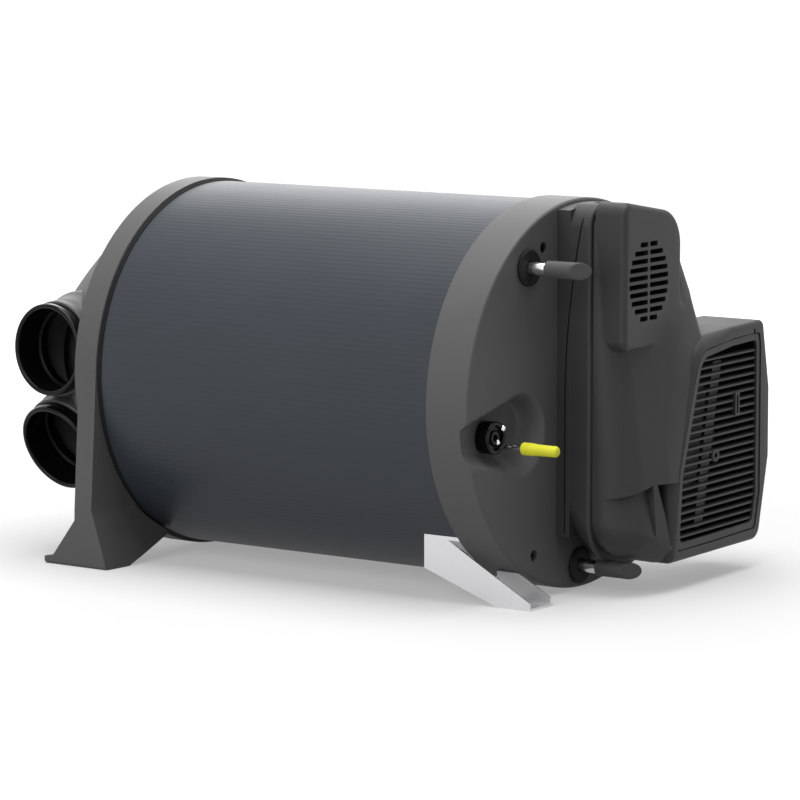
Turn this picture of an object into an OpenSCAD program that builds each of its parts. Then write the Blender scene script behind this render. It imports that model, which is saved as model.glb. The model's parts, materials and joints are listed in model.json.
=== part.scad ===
// Caravan air and water heater: a lying drum with an annular water tank round a burner, an air
// distributor with four duct outlets at one end, and a hood with fans and controls at the other.
// X runs along the drum towards the hood, -Y is the front, Z is up and the floor is z = 0.

/* [Drum] */
// Height of the drum's axis above the floor
axis_h = 151; // [150.5:0.5:180]
// Outside diameter of the jacket
jacket_d = 292; // [286:1:296]
// Length from the distributor rim to the end cap
jacket_len = 323; // [280:1:380]
// Sheet thickness of the jacket
jacket_wall = 1.5; // [1:0.1:2]
// Width of the rubber seal between rim and jacket
seal_w = 3; // [2:0.5:5]
// Thickness of the foam between jacket and tank
insulation_t = 11; // [8:0.5:13]

/* [Distributor cap] */
// Width of the arch rim along the drum
rim_w = 21; // [16:0.5:26]
// How much narrower a leg is than the rim
leg_set = 3.5; // [2:0.5:5]
// How far the rim stands out from the jacket
rim_proud = 2.5; // [1:0.5:3]
// Radial thickness of the rim
rim_t = 8.5; // [6:0.5:12]
// Distance from the axis to the outer face of each foot at the floor
foot_out = 156; // [153:0.5:164]
// Depth of a foot, front to back
foot_depth = 31; // [26:1:36]
// Height at which a leg starts to flare into its foot
foot_h = 46; // [36:1:56]
// Reach of a foot past the rim, away from the jacket
foot_aft = 28; // [22:1:32]
// Reach of a foot past the rim, under the jacket
foot_fore = 15; // [8:1:20]
// Thickness of the screw ledge on a foot
ledge_t = 6; // [4:0.5:9]
// Diameter of the screw hole in a foot
foot_hole_d = 6; // [4:0.5:8]

/* [Air chamber and outlets] */
// Depth of the domed chamber
chamber_depth = 88; // [88:1:96]
// Radius of the flat end of the dome
chamber_end_r = 70; // [64:1:78]
// Radius of the dome's arched flank
chamber_bulge_r = 600; // [400:5:900]
// Rounding between the flank and the flat end
chamber_edge_r = 14; // [8:1:20]
// Wall of the dome
chamber_wall = 3; // [2:0.5:4]
// Bore of a warm-air outlet
outlet_bore_d = 65; // [60:0.5:65.5]
// Wall of a warm-air outlet
outlet_wall = 3.5; // [2.5:0.5:4.5]
// Depth of an outlet from its mouth to the duct stop
outlet_stop = 24; // [18:1:26]
// Length of an outlet
outlet_len = 32; // [30:0.5:34]
// Distance of the upper outlets from the rim, along the drum
outlet_x = 41; // [40:0.5:41]
// Wall of the moulded boss round an outlet
boss_wall = 2; // [1.5:0.5:2.5]

/* [End cap] */
// Width of the end cap's ring
cap_w = 37.5; // [34:0.5:44]
// How far the ring stands out from the jacket
cap_proud = 3; // [1.5:0.5:3]
// Wall of the end cap
cap_wall = 4; // [3.5:0.5:5]
// Depth of the scooped recess
scoop_depth = 10; // [6:0.5:12]

/* [Hood] */
// Reach of the intake face past the end cap
hood_reach = 68; // [64:0.5:76]
// Reach of the raised block past the end cap
block_reach = 59.5; // [56:0.5:61]
// Reach of the lower cover's face at its front edge, under the block
cover_reach = 50; // [47:0.5:52]
// How far that face leans out for each mm to the rear
cover_out = 0.07; // [0.03:0.01:0.1]
// How far that face leans out from the block down to the hood's foot
cover_fall = 16; // [10:0.5:17]
// Thickness of the plinth under the hood
plinth_t = 12; // [9:0.5:14]
// Wall of the hood mouldings
hood_wall = 2.5; // [2:0.25:3]
// Turn of the hood's end faces towards the rear, in degrees
face_tilt = 5.5; // [3:0.5:7]
// Rear reach of the intake housing from the axis
intake_back = 185; // [182:0.5:190]
// Diameter of the small round vent
vent_d = 59; // [48:1:62]
// Pitch of the vent slots
vent_pitch = 6.2; // [5.5:0.1:8]
// Pitch of the intake grille slots
grille_pitch = 6; // [5:0.1:9]
// Height of a grille or vent slot
slot_h = 3; // [2:0.1:4]
// Width of the frame round the grille
frame_w = 9; // [6:0.5:12]
// Thickness of the grille panel
grille_t = 2.5; // [2:0.25:3]

/* [Connections] */
// Outside diameter of the water nipples
nipple_d = 10; // [8:0.5:12]
// Free length of a water nipple under and before its cap
nipple_len = 30; // [27:1:33]
// Bare length of a nipple between the end face and its cap
nipple_bare = 18; // [13:1:20]
// Wall of the push-on caps
push_cap_wall = 1.4; // [1:0.1:2]
// Length of the push-on water caps
push_cap_len = 36; // [32:1:42]
// Diameter of the water grommets' flange
grommet_d = 28; // [24:0.5:29]
// Diameter of the fuel tube
fuel_d = 5; // [4:0.5:6]
// Outside diameter of the fuel tube's cap
fuel_cap_d = 9.6; // [8.5:0.1:12]
// Diameter of the plug in the scoop
plug_d = 21; // [16:0.5:22]
// Outside diameter of the exhaust stub
exhaust_d = 24; // [20:0.5:25]
// Outside diameter of the combustion-air stub
air_stub_d = 25; // [20:0.5:26]
// How far the stubs stand out of the end cap's ring
stub_len = 24; // [18:1:27]

/* [Brackets] */
// Sheet thickness of the steel brackets
sheet = 2; // [1.5:0.25:3]
// Distance from the axis to the outer face of a bracket's web
web_out = 105; // [100:0.5:110]
// Width of a bracket's foot flange
flange_w = 28; // [24:0.5:32]
// Length of a bracket's foot flange
flange_len = 30; // [26:0.5:34]
// Width of the screw slot in a bracket's foot
slot_w = 6.5; // [5:0.5:8]
// Length of the screw slot
slot_len = 14; // [11:0.5:16]

/* [Burner and fans] */
// Bore of the water tank that holds the heat exchanger
tank_bore_d = 186; // [176:1:196]
// Sheet thickness of the tank
tank_wall = 1.2; // [0.8:0.1:2]
// Outside diameter of the heat exchanger's core
core_d = 132; // [128:1:140]
// Number of fins on the heat exchanger
fin_count = 36; // [24:1:48]
// Thickness of a fin
fin_t = 2.4; // [1.6:0.1:3.2]
// Outside diameter of the combustion chamber
burner_tube_d = 104; // [96:1:108]
// Diameter of the combustion fan wheel
blower_wheel_d = 96; // [84:1:104]
// Diameter of the circulation fan wheel
air_wheel_d = 84; // [72:1:88]
// Number of blades on each fan wheel
blade_count = 24; // [16:1:36]

/* [Clearances] */
// Gap between pieces that are pushed together
seat_gap = 0.2; // [0.1:0.05:0.4]
// Radial running clearance of shafts and push-on caps
run_gap = 0.06; // [0.03:0.01:0.1]

/* [Hidden] */
$fn = 96;
thin = 0.01;
past = 1;

// Stations along the drum: dome end, rim, jacket, end cap, end face
total_len = chamber_depth + rim_w + jacket_len + cap_w + hood_reach;
x_dome = -total_len / 2;
x_rim = x_dome + chamber_depth;
x_jacket = x_rim + rim_w;
x_cap = x_jacket + jacket_len;
x_face = x_cap + cap_w;
// The outer box is centred on the origin, so the axis lies a little to the front of it
axis_y = (foot_out - intake_back) / 2;

jacket_r = jacket_d / 2;
rim_r = jacket_r + rim_proud;
rim_bore_r = rim_r - rim_t;
cap_r = jacket_r + cap_proud;
cap_bore_r = cap_r - cap_wall;
foam_r = jacket_r - jacket_wall - seat_gap;
foam_bore_r = foam_r - insulation_t;
tank_r = foam_bore_r - seat_gap;
tank_bore_r = tank_bore_d / 2;
tank_x = x_jacket + 14;
tank_end_x = x_cap;

// Dome flank: an arc from the rim's edge to the flat end
dome_base_r = rim_r - 2.5;
dome_fall = dome_base_r - chamber_end_r;
dome_half = norm([chamber_depth, dome_fall]) / 2;
dome_drop = sqrt(pow(chamber_bulge_r, 2) - pow(dome_half, 2));
dome_cx = chamber_depth / 2 - dome_drop * dome_fall / (2 * dome_half);
dome_cr = (dome_base_r + chamber_end_r) / 2 - dome_drop * chamber_depth / (2 * dome_half);
// Centre of the rounding that touches the flank and the flat end
edge_y = chamber_depth - chamber_edge_r;
edge_x = dome_cr + sqrt(pow(chamber_bulge_r - chamber_edge_r, 2) - pow(edge_y - dome_cx, 2));
edge_way = [edge_x - dome_cr, edge_y - dome_cx] / (chamber_bulge_r - chamber_edge_r);

// Outlet mouths on the front side: [outward and up from the axis, turn to the dome's end, dip, from the rim]
outlet_r = outlet_bore_d / 2 + outlet_wall;
upper_mouth = [136.5, 16.5, 3, 0, outlet_x];
lower_mouth = [119, -65, 3, 22, outlet_x + 6];
lip_w = 2.5;
lip_proud = 0.8;

// Hood outlines, from the axis: [rear, up, corner radius]; the intake is set out from its fan
fan_at = [cap_r - 51, -38];
hood_front = -30;
block_front = -32.5;
block_rear = 58.5;
block_foot = 37.5;
block_top = cap_r;
hood_foot = 26 - cap_r;
lip_foot = 43 - cap_r;
plinth_front = -34;
plinth_r = jacket_r;
block_start = 26;
block_taper = 12;
block_turn_y = -23;
edge_r = 6;
cover_edge = 16;
cover_shy = 2;
block_crown = 0.8;
tilt_slope = tan(face_tilt);
function on_tilt(reach, y, turn_y) = reach - (y - turn_y) * tilt_slope;
function on_cover(y, z) = min(hood_reach - cover_shy,
    cover_reach + cover_out * (y - hood_front) + cover_fall * (block_foot - z) / (block_foot - hood_foot));

// A post with its base and end: [rear, up, corner radius, start, reach, lift of its base]
block_mid = (block_top + block_foot) / 2;
function crown(z) = block_crown * pow((z - block_mid) / (block_top - block_mid), 2);
function block_post(y, z, r, start) = [y, z, r, start, on_tilt(block_reach, y, block_turn_y) - crown(z), 0];
function cover_post(y, z, r, lift) = [y, z, r, 0, on_cover(y, z), lift];
block_posts = [
    block_post(block_front + 9, block_top - 9, 9, block_start),
    block_post(block_rear - 20, block_top - 20.5, 20, block_start),
    block_post(block_rear - 7, block_foot + 7, 7, block_start),
    block_post(block_front + 8, block_foot + 8, 8, block_start + block_taper)];
cover_posts = [
    cover_post(hood_front + 22, block_top - 29, 22, 0), cover_post(block_rear - 24, block_top - 31, 20, 0),
    cover_post(fan_at[0] - 36, block_foot + 34.5, 20, 0), cover_post(fan_at[0] - 20, block_foot - 23.5, 16, 0),
    cover_post(fan_at[0] - 84, hood_foot + 18, 18, lip_foot - hood_foot),
    cover_post(hood_front + 22, hood_foot + 22, 22, lip_foot - hood_foot)];
intake_foot = 20 - cap_r;
intake_front = fan_at[0] - 70;
intake_foot_r = 8;
// The intake face meets its full reach at the first post's rounded edge
intake_reach = hood_reach - (intake_foot_r - edge_r) * sin(face_tilt) - edge_r * (1 - cos(face_tilt));
function intake_post(y, z, r) = [y, z, r, 0, on_tilt(intake_reach, y, intake_front), 0];
intake_posts = [
    intake_post(intake_front, intake_foot + intake_foot_r, intake_foot_r),
    intake_post(fan_at[0] - 52, fan_at[1] - 26, 20), intake_post(fan_at[0] - 6, fan_at[1] + 52, 32),
    intake_post(intake_back - 16, 39, 6), intake_post(intake_back - 12, -10, 12),
    intake_post(intake_back - 12, -62, 12), intake_post(intake_back - 26, intake_foot + 13, 12)];

// Vent and grille
vent_y = 5;
vent_z = (block_top + block_foot) / 2 - 4.8;
vent_rows = floor(vent_d / vent_pitch) + 1;
vent_bar = 3;
grille_rib = 5;
grille_sink = 1;

// A place on the end face: inset from the ring's edge, turned from the top towards the rear
function on_clock(inset, turn) = (cap_r - inset) * [sin(turn), cos(turn)];

// Connections, from the axis: [rear, up]
hot_at = on_clock(25, -35.5);
cold_at = on_clock(17, 181.3);
cold_port_z = 31 - cap_r;
plug_at = on_clock(34.8, -101.4);
fuel_at = on_clock(45.4, -107.1);
scoop_at = on_clock(64.5, -106.5);
scoop_r = 30;
scoop_rim_r = 16;
nipple_r = nipple_d / 2;
nipple_bore_r = nipple_r - 1.25;
push_cap_bore_r = nipple_r + run_gap;
grommet_flange = 3;
fuel_bare = 15;
fuel_cap_len = 32;
fuel_cover = 14;
screw_at = [on_clock(23.2, -24.4), on_clock(16.1, -151.7), on_clock(8.1, 51.3), on_clock(9, 143.1)];
screw_d = 6.6;
stub_x = x_cap + cap_w / 2 - 2;
exhaust_z = -34;
air_stub_z = 8;
stub_step = 1.5;
stub_inside = 22;

// Fans
flange_t = 4;
core_r = core_d / 2;
core_bore_r = core_r - 4;
x_flange = x_cap + 5;
x_blower = x_flange + flange_t;
blower_len = x_face - cap_wall - 0.5 - x_blower;
blower_r = blower_wheel_d / 2 + 7;
blower_wall = 2.5;
shaft_r = 3;
motor_r = 17;
motor_len = 36;
fan_hole_r = air_wheel_d / 2 - 4;
fan_shaft_r = 2.5;
mount_t = 3;
x_fan = x_face + hood_wall;
board_at = [8, block_top - 65];
board_size = [50, 74];
board_t = 1.6;
post_h = 10;

// Shared frames and shapes

// Everything that is measured from the drum's axis
module on_axis() translate([0, axis_y, axis_h]) children();

// A solid of revolution about the drum's axis: profile x is the radius, y runs along +X from x
module revolve_x(x) translate([x, 0, 0]) rotate([0, 90, 0]) rotate_extrude() children();

// A profile in rear and up, drawn out along +X from x
module draw_x(x, len) translate([x, 0, 0]) rotate([90, 0, 90]) linear_extrude(len) children();

// A profile along the drum and up, drawn out from y towards +Y
module draw_y(y, len) translate([0, y + len, 0]) rotate([90, 0, 0]) linear_extrude(len) children();

// A cylinder along +X at a place given from the axis
module rod_x(x, at, r, len) translate([x, at[0], at[1]]) rotate([0, 90, 0]) cylinder(r = r, h = len);

// A tube along +X
module tube_x(x, r, bore_r, len) revolve_x(x) translate([bore_r, 0]) square([r - bore_r, len]);

// Both sides of a pair that mirrors about the axis plane
module rear_copy(rear) mirror([0, rear ? 1 : 0, 0]) children();

// Left end

// Front outline of the two legs, with the arch that springs from each foot
module leg_outline() for (side = [-1, 1])
    polygon([
        [side * rim_r, 0], [side * (foot_out - 0.7), foot_h - axis_h], [side * foot_out, -axis_h],
        [side * (foot_out - foot_depth), -axis_h], [side * rim_r * 0.51, arch_h - axis_h],
        [side * rim_r * 0.45, -rim_bore_r * 0.8], [side * rim_bore_r * 0.8, 0]]);

arch_h = 20;

// Side outline of a foot, flared towards the floor
module foot_outline()
    polygon([
        [x_rim + leg_set, foot_h - 9], [x_rim + leg_set, foot_h], [x_jacket, foot_h],
        [x_jacket + foot_fore - 1, ledge_t], [x_jacket + foot_fore, 0],
        [x_rim - foot_aft, 0], [x_rim - foot_aft, ledge_t], [x_rim - foot_aft + 9, ledge_t + 1.5]]);

foot_hole_x = x_rim - foot_aft + 7;
foot_hole_out = foot_out - foot_depth / 2;

module distributor_cap() color("dimgray") difference() {
    union() {
        on_axis() rod_x(x_rim, [0, 0], rim_r, rim_w);
        on_axis() draw_x(x_rim + leg_set, rim_w - leg_set) leg_outline();
        intersection() {
            translate([0, axis_y, 0]) draw_y(-foot_out, 2 * foot_out) foot_outline();
            on_axis() draw_x(x_rim - foot_aft, foot_aft + rim_w + foot_fore) leg_outline();
        }
    }
    on_axis() rod_x(x_rim - past, [0, 0], rim_bore_r, rim_w + 2 * past);
    on_axis() tube_x(x_jacket, rim_r, 0, foot_fore + past);
    on_axis() tube_x(x_rim - foot_aft - past, rim_r, 0, foot_aft + past);
    translate([0, axis_y, -past])
        for (side = [-1, 1]) translate([foot_hole_x, side * foot_hole_out, 0])
            cylinder(d = foot_hole_d, h = foot_h);
    translate([0, axis_y, ledge_t + 1.5])
        for (side = [-1, 1]) translate([foot_hole_x, side * foot_hole_out, 0])
            cylinder(d = foot_hole_d + 5, h = foot_h);
}

// Dome section, from the rim outwards
module dome_outline(inset) {
    touch = [dome_cr, dome_cx] + (chamber_bulge_r - inset) * edge_way;
    difference() {
        intersection() {
            translate([dome_cr, dome_cx]) circle(chamber_bulge_r - inset);
            square([dome_base_r, chamber_depth - inset]);
        }
        polygon([
            [edge_x, chamber_depth - inset], [edge_x, chamber_depth + past],
            [dome_base_r, chamber_depth + past], [dome_base_r, touch[1]], touch]);
    }
    translate([edge_x, edge_y]) circle(chamber_edge_r - inset);
}

// A shape along an outlet's axis, with its mouth at the outlet's place and +Z out of the mouth
module at_outlet(mouth, rear) rear_copy(rear)
    translate([x_rim - mouth[4], -mouth[0], mouth[1]])
        rotate([0, 0, -mouth[2]]) rotate([90 + mouth[3], 0, 0]) children();

module each_outlet() for (mouth = [upper_mouth, lower_mouth], rear = [false, true])
    at_outlet(mouth, rear) children();

boss_back = 11;
boss_root = 62;
throat_r = outlet_r - 2.5;

module air_chamber() color("gray") on_axis() difference() {
    union() {
        translate([x_rim, 0, 0]) rotate([0, -90, 0]) rotate_extrude() dome_outline(0);
        each_outlet() translate([0, 0, -boss_root])
            cylinder(r = outlet_r + seat_gap + boss_wall, h = boss_root - boss_back);
    }
    translate([x_rim + thin, 0, 0]) rotate([0, -90, 0]) rotate_extrude() dome_outline(chamber_wall);
    tube_x(x_rim, rim_r + 2 * outlet_r, 0, rim_w);
    each_outlet() translate([0, 0, -boss_root - past])
        cylinder(r = outlet_r + seat_gap, h = boss_root + 2 * past);
    each_outlet() translate([0, 0, -lip_w - seat_gap])
        cylinder(r = outlet_r + lip_proud + seat_gap, h = lip_w + outlet_r);
}

// Duct stub: a plain bore to the duct stop, a narrower throat behind it, and a rolled lip
module outlet(mouth, rear) color([0.05, 0.05, 0.05]) on_axis() at_outlet(mouth, rear) difference() {
    union() {
        translate([0, 0, -outlet_stop - 2]) cylinder(r = outlet_r, h = outlet_stop + 2);
        translate([0, 0, -outlet_len]) cylinder(r = throat_r, h = outlet_len);
        translate([0, 0, -lip_w]) cylinder(r = outlet_r + lip_proud, h = lip_w);
    }
    translate([0, 0, -outlet_stop]) cylinder(d = outlet_bore_d, h = outlet_stop + past);
    translate([0, 0, -outlet_len - past]) cylinder(d = outlet_bore_d - 4, h = outlet_len);
}

// Drum

module jacket_seal() color([0.08, 0.08, 0.09]) on_axis()
    tube_x(x_jacket, jacket_r + 0.6, rim_bore_r + 1.5, seal_w);

module jacket() color([0.25, 0.27, 0.3]) on_axis()
    tube_x(x_jacket + seal_w, jacket_r, jacket_r - jacket_wall, jacket_len - seal_w);

module insulation() color("gainsboro") on_axis()
    tube_x(x_jacket + seal_w, foam_r, foam_bore_r, jacket_len - seal_w);

// Closed ring-shaped tank with a port for each water connection
module water_tank() color("silver") on_axis() difference() {
    revolve_x(tank_x) translate([tank_bore_r, 0]) difference() {
        square([tank_r - tank_bore_r, tank_end_x - tank_x]);
        translate([tank_wall, tank_wall])
            square([tank_r - tank_bore_r - 2 * tank_wall, tank_end_x - tank_x - 2 * tank_wall]);
    }
    rod_x(tank_end_x - 2 * tank_wall, hot_at, nipple_r + run_gap, 3 * tank_wall);
    rod_x(tank_end_x - 2 * tank_wall, [cold_at[0], cold_port_z], nipple_bore_r, 3 * tank_wall);
}

fin_tip_r = tank_bore_r - seat_gap;

module heat_exchanger() color("lightgray") on_axis()
    draw_x(tank_x, x_flange - tank_x) difference() {
        union() {
            circle(core_r);
            for (i = [0 : fin_count - 1]) rotate(i * 360 / fin_count)
                translate([core_r - past, -fin_t / 2]) square([fin_tip_r - core_r + past, fin_t]);
        }
        circle(core_bore_r);
    }

module combustion_chamber() color("slategray") on_axis()
    tube_x(tank_x + 40, burner_tube_d / 2, burner_tube_d / 2 - 1.5, x_flange - tank_x - 40);

glow_at = [0, 30];
pot_r = 42;
pot_len = 34;
pot_wall = 4;
pot_floor = 3;
feed_r = 14;
air_hole_r = 3;

module burner_flange() color("darkgray") on_axis() difference() {
    rod_x(x_flange, [0, 0], core_r, flange_t);
    rod_x(x_flange - past, [0, 0], feed_r, flange_t + 2 * past);
    rod_x(x_flange - past, glow_at, 4 + run_gap, flange_t + 2 * past);
}

// Evaporator pot with its ring of air holes
module burner_head() color("rosybrown") on_axis() difference() {
    rod_x(x_flange - pot_len, [0, 0], pot_r, pot_len);
    rod_x(x_flange - pot_len - past, [0, 0], pot_r - pot_wall, pot_len - pot_floor + past);
    rod_x(x_flange - pot_floor - past, [0, 0], feed_r - 2, pot_floor + 2 * past);
    rod_x(x_flange - pot_floor - past, glow_at, 4 + run_gap, pot_floor + 2 * past);
    for (i = [0 : 11]) translate([x_flange - pot_len / 2, 0, 0]) rotate([i * 30 + 15, 0, 0])
        translate([0, pot_r - pot_wall - past, 0]) rotate([-90, 0, 0])
            cylinder(r = air_hole_r, h = pot_wall + 2 * past);
}

module glow_plug() color("darkkhaki") on_axis() {
    rod_x(x_flange - 24, glow_at, 2.5, 24);
    rod_x(x_flange - 4, glow_at, 4, x_blower - x_flange + 4);
}

// Burner fan

module blower_housing() color("lightslategray") on_axis() difference() {
    rod_x(x_blower, [0, 0], blower_r, blower_len);
    rod_x(x_blower + blower_wall, [0, 0], blower_r - blower_wall, blower_len - 2 * blower_wall);
    rod_x(x_blower - past, [0, 0], feed_r, blower_wall + 2 * past);
    rod_x(x_face - cap_wall - 10, [0, 0], shaft_r + 1, 20);
}

wheel_x = x_blower + blower_wall + 4;
wheel_len = blower_len - 2 * blower_wall - 8;
blower_chord = blower_wheel_d / 6;
hub_r = 3 * shaft_r;

// Blades of a fan wheel, slanted to the radius
module blade_ring(r, chord, slant) for (i = [0 : blade_count - 1]) rotate(i * 360 / blade_count)
    translate([r - chord / 2 - 1, 0]) rotate(slant) square([chord, 1.2], center = true);

module combustion_fan_wheel() color("whitesmoke") on_axis() difference() {
    union() {
        draw_x(wheel_x, wheel_len) blade_ring(blower_wheel_d / 2, blower_chord, 35);
        rod_x(wheel_x, [0, 0], blower_wheel_d / 2, 2);
        rod_x(wheel_x, [0, 0], hub_r, wheel_len);
    }
    rod_x(wheel_x - past, [0, 0], shaft_r, wheel_len + 2 * past);
}

module combustion_fan_shaft() color("silver") on_axis()
    rod_x(wheel_x, [0, 0], shaft_r, x_face - wheel_x + 10);

module combustion_fan_motor() color("dimgray") on_axis() difference() {
    union() {
        rod_x(x_blower + blower_len, [0, 0], motor_r, motor_len);
        rod_x(x_blower + blower_len + motor_len, [0, 0], 8, 3);
    }
    rod_x(x_blower + blower_len - past, [0, 0], shaft_r + run_gap, x_face + 11 - x_blower - blower_len + past);
}

// Right end

// Scooped recess that runs out to the ring's edge; grow widens it by a wall
module scoop(grow) hull() {
    scoop_end(scoop_at, scoop_r, scoop_depth, grow);
    scoop_end([-cap_r + 7, scoop_at[1] + 2], scoop_rim_r, scoop_depth * 0.4, grow);
}

module scoop_end(at, r, depth, grow) translate([x_face - depth - grow, at[0], at[1]]) rotate([0, 90, 0])
    cylinder(r1 = r * 0.66 + grow, r2 = r + grow, h = depth + grow + thin, $fn = 32);

ring_edge = 2;

module end_cap() color([0.36, 0.36, 0.37]) on_axis() difference() {
    union() {
        revolve_x(x_cap) {
            square([cap_r, cap_w - ring_edge]);
            square([cap_r - ring_edge, cap_w]);
            translate([cap_r - ring_edge, cap_w - ring_edge]) circle(ring_edge);
        }
        for (side = [-1, 1], level = [-1, 1])
            rod_x(x_face, board_at + [side * (board_size[0] / 2 - 5), level * (board_size[1] / 2 - 5)],
                4, post_h);
    }
    difference() {
        rod_x(x_cap - past, [0, 0], cap_bore_r, cap_w - cap_wall + past);
        scoop(cap_wall - 1);
        rod_x(x_face - scoop_depth - 3, plug_at, plug_d / 2 + 2, 30);
    }
    scoop(0);
    rod_x(x_face - scoop_depth, plug_at, plug_d / 2 + seat_gap, scoop_depth + past);
    rod_x(x_cap, fuel_at, fuel_d / 2 + run_gap, cap_w + past);
    rod_x(x_cap, hot_at, grommet_d / 2 - 3, cap_w + past);
    rod_x(x_cap, cold_at, grommet_d / 2 - 3, cap_w + past);
    rod_x(x_cap, [0, 0], motor_r + 1, cap_w + past);
    rod_x(x_cap, fan_at, fan_hole_r, cap_w + past);
    for (at = screw_at) rod_x(x_face - cap_wall, at, screw_d / 2, cap_wall + past);
    for (stub = [[exhaust_z, exhaust_d], [air_stub_z, air_stub_d]])
        translate([stub_x, 0, stub[0]]) rotate([-90, 0, 0])
            cylinder(d = stub[1] - stub_step + 2 * seat_gap, h = cap_r + past);
}

// Screws sunk into the end face and its bosses
module end_cap_screws() color([0.1, 0.1, 0.1]) on_axis() for (at = screw_at) difference() {
    rod_x(x_face - cap_wall, at, screw_d / 2 - seat_gap, cap_wall - 1.5);
    rod_x(x_face - cap_wall + 1, at, 1.6, cap_wall);
}

// Rounded end of a hood corner: a flat disc with a quarter-round edge, facing +X
module button(r, edge) for (step = [0 : 4]) translate([-edge * (1 - sin(step * 22.5)), 0, 0])
    rotate([0, 90, 0]) cylinder(r = r - edge * (1 - cos(step * 22.5)), h = thin, $fn = 32);

// A moulded cover: corner posts from their bases to a turned end face, skinned over
module cover(posts, turn, edge, inset, back = 0) hull() for (post = posts) {
    r = post[2] - inset;
    translate([x_face + post[3] + back, post[0], post[1] + post[5]]) rotate([0, 90, 0])
        cylinder(r = r, h = thin, $fn = 32);
    translate([x_face + post[4] - inset, post[0], post[1]]) rotate([0, 0, turn])
        button(r, edge - inset);
}

module plinth(inset) draw_x(x_face, plinth_t - inset) intersection() {
    circle(plinth_r - inset);
    translate([plinth_front + inset, lip_foot + inset]) square(2 * plinth_r);
}

// Grip pocket in the lower cover's front corner: deep at its top edge, running out below
pocket_top = 79 - cap_r;
pocket_foot = 35 - cap_r;
pocket_deep = 11;
pocket_rear = fan_at[0] - 95;
pocket_side_x = x_face + 36;

module pocket(grow) {
    top_x = x_face + on_cover(hood_front, pocket_top);
    foot_x = x_face + on_cover(hood_front, pocket_foot);
    draw_y(hood_front - 20, pocket_rear - hood_front + 20 + grow) polygon([
        [top_x - pocket_deep - grow, pocket_top + grow], [foot_x + 20, pocket_top + grow],
        [foot_x + 20, pocket_foot - grow], [foot_x - grow, pocket_foot - grow]]);
    draw_x(pocket_side_x - grow, 60) polygon([
        [hood_front + pocket_deep + grow, pocket_top + grow], [hood_front - 20, pocket_top + grow],
        [hood_front - 20, pocket_foot - grow], [hood_front + grow, pocket_foot - grow]]);
}

// Tapered groove between the pocket and the intake
groove_deep = 14;

module wedge_groove(grow) draw_x(x_face + on_cover(pocket_rear, pocket_top) - groove_deep - grow, 60) polygon([
    [pocket_rear + 5 - grow, pocket_top + 4 + grow], [pocket_rear + 35 + grow, pocket_top + 3 + grow],
    [pocket_rear + 24 + grow, pocket_foot - grow], [pocket_rear + 18 - grow, pocket_foot - grow]]);

// Rows of slots in a face, with a bar down the middle
module slot_rows(rows, pitch, half_w, bar_w, bar_lean) difference() {
    for (row = [0 : rows - 1]) translate([-half_w, (row - (rows - 1) / 2) * pitch - slot_h / 2])
        square([2 * half_w, slot_h]);
    for (row = [0 : rows - 1]) translate([(row - (rows - 1) / 2) * pitch * bar_lean - bar_w / 2,
            (row - (rows - 1) / 2) * pitch - slot_h])
        square([bar_w, 2 * slot_h]);
}

// A frame on a turned end face: profile x runs to the rear, y up, drawn outwards
module on_face(reach, at_y, turn_y) translate([x_face + reach - (at_y - turn_y) * tilt_slope, at_y, 0])
    rotate([0, 0, face_tilt]) rotate([90, 0, 90]) children();

module hood() color([0.2, 0.2, 0.2]) on_axis() difference() {
    union() {
        plinth(0);
        cover(cover_posts, 0, cover_edge, 0);
        cover(block_posts, face_tilt, edge_r, 0);
    }
    pocket(0);
    wedge_groove(0);
    translate([-thin, 0, 0]) difference() {
        union() {
            plinth(hood_wall);
            cover(cover_posts, 0, cover_edge, hood_wall);
            cover(block_posts, face_tilt, edge_r, hood_wall);
        }
        pocket(hood_wall);
        wedge_groove(hood_wall);
    }
    on_face(block_reach, vent_y, block_turn_y) translate([0, vent_z, -2 * edge_r])
        linear_extrude(4 * edge_r) intersection() {
            circle(vent_d / 2);
            slot_rows(vent_rows, vent_pitch, vent_d, vent_bar, 0);
        }
    intake_body(-seat_gap);
}

// Outer form of the intake housing, grown or shrunk
module intake_body(inset) cover(intake_posts, face_tilt, edge_r, inset, inset < 0 ? -past : inset);

// Outline of the intake face, measured along the face from its first post
module intake_outline() hull() for (post = intake_posts)
    translate([(post[0] - intake_posts[0][0]) / cos(face_tilt), post[1]]) circle(post[2], $fn = 32);

// Opening for the grille: the face less its frame, which is wider along the rear
module grille_outline(inset) offset(r = 4) offset(delta = -4 - inset) intersection() {
    offset(delta = -frame_w) intake_outline();
    translate([0, -cap_r])
        square([(intake_back - intake_posts[0][0] - 1.8 * frame_w) / cos(face_tilt), 2 * cap_r]);
}

module intake_housing() color([0.22, 0.22, 0.22]) on_axis() difference() {
    intake_body(0);
    intake_body(hood_wall);
    rod_x(x_face - past, fan_at, fan_hole_r, 2 * hood_wall);
    on_face(intake_reach, intake_posts[0][0], intake_posts[0][0]) translate([0, 0, -2 * hood_wall])
        linear_extrude(4 * hood_wall) grille_outline(0);
}

grille_mid = fan_at - [intake_posts[0][0] + 10, 0];
grille_rows = 26;

module intake_grille() color([0.16, 0.16, 0.16]) on_axis()
    on_face(intake_reach, intake_posts[0][0], intake_posts[0][0])
        translate([0, 0, -grille_sink - grille_t]) linear_extrude(grille_t) difference() {
            grille_outline(seat_gap);
            intersection() {
                grille_outline(6);
                translate(grille_mid)
                    slot_rows(grille_rows, grille_pitch, intake_back, grille_rib, 0.15);
            }
        }

// Circulation fan

arm_w = 10;

module fan_mount() color("dimgray") on_axis() {
    draw_x(x_fan, mount_t) translate(fan_at) difference() {
        union() {
            circle(fan_motor_r + 2);
            for (i = [0 : 2]) rotate(i * 120 + 90) translate([0, -arm_w / 2]) square([fan_hole_r + 8, arm_w]);
        }
        circle(fan_shaft_r + 1);
    }
}

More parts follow.
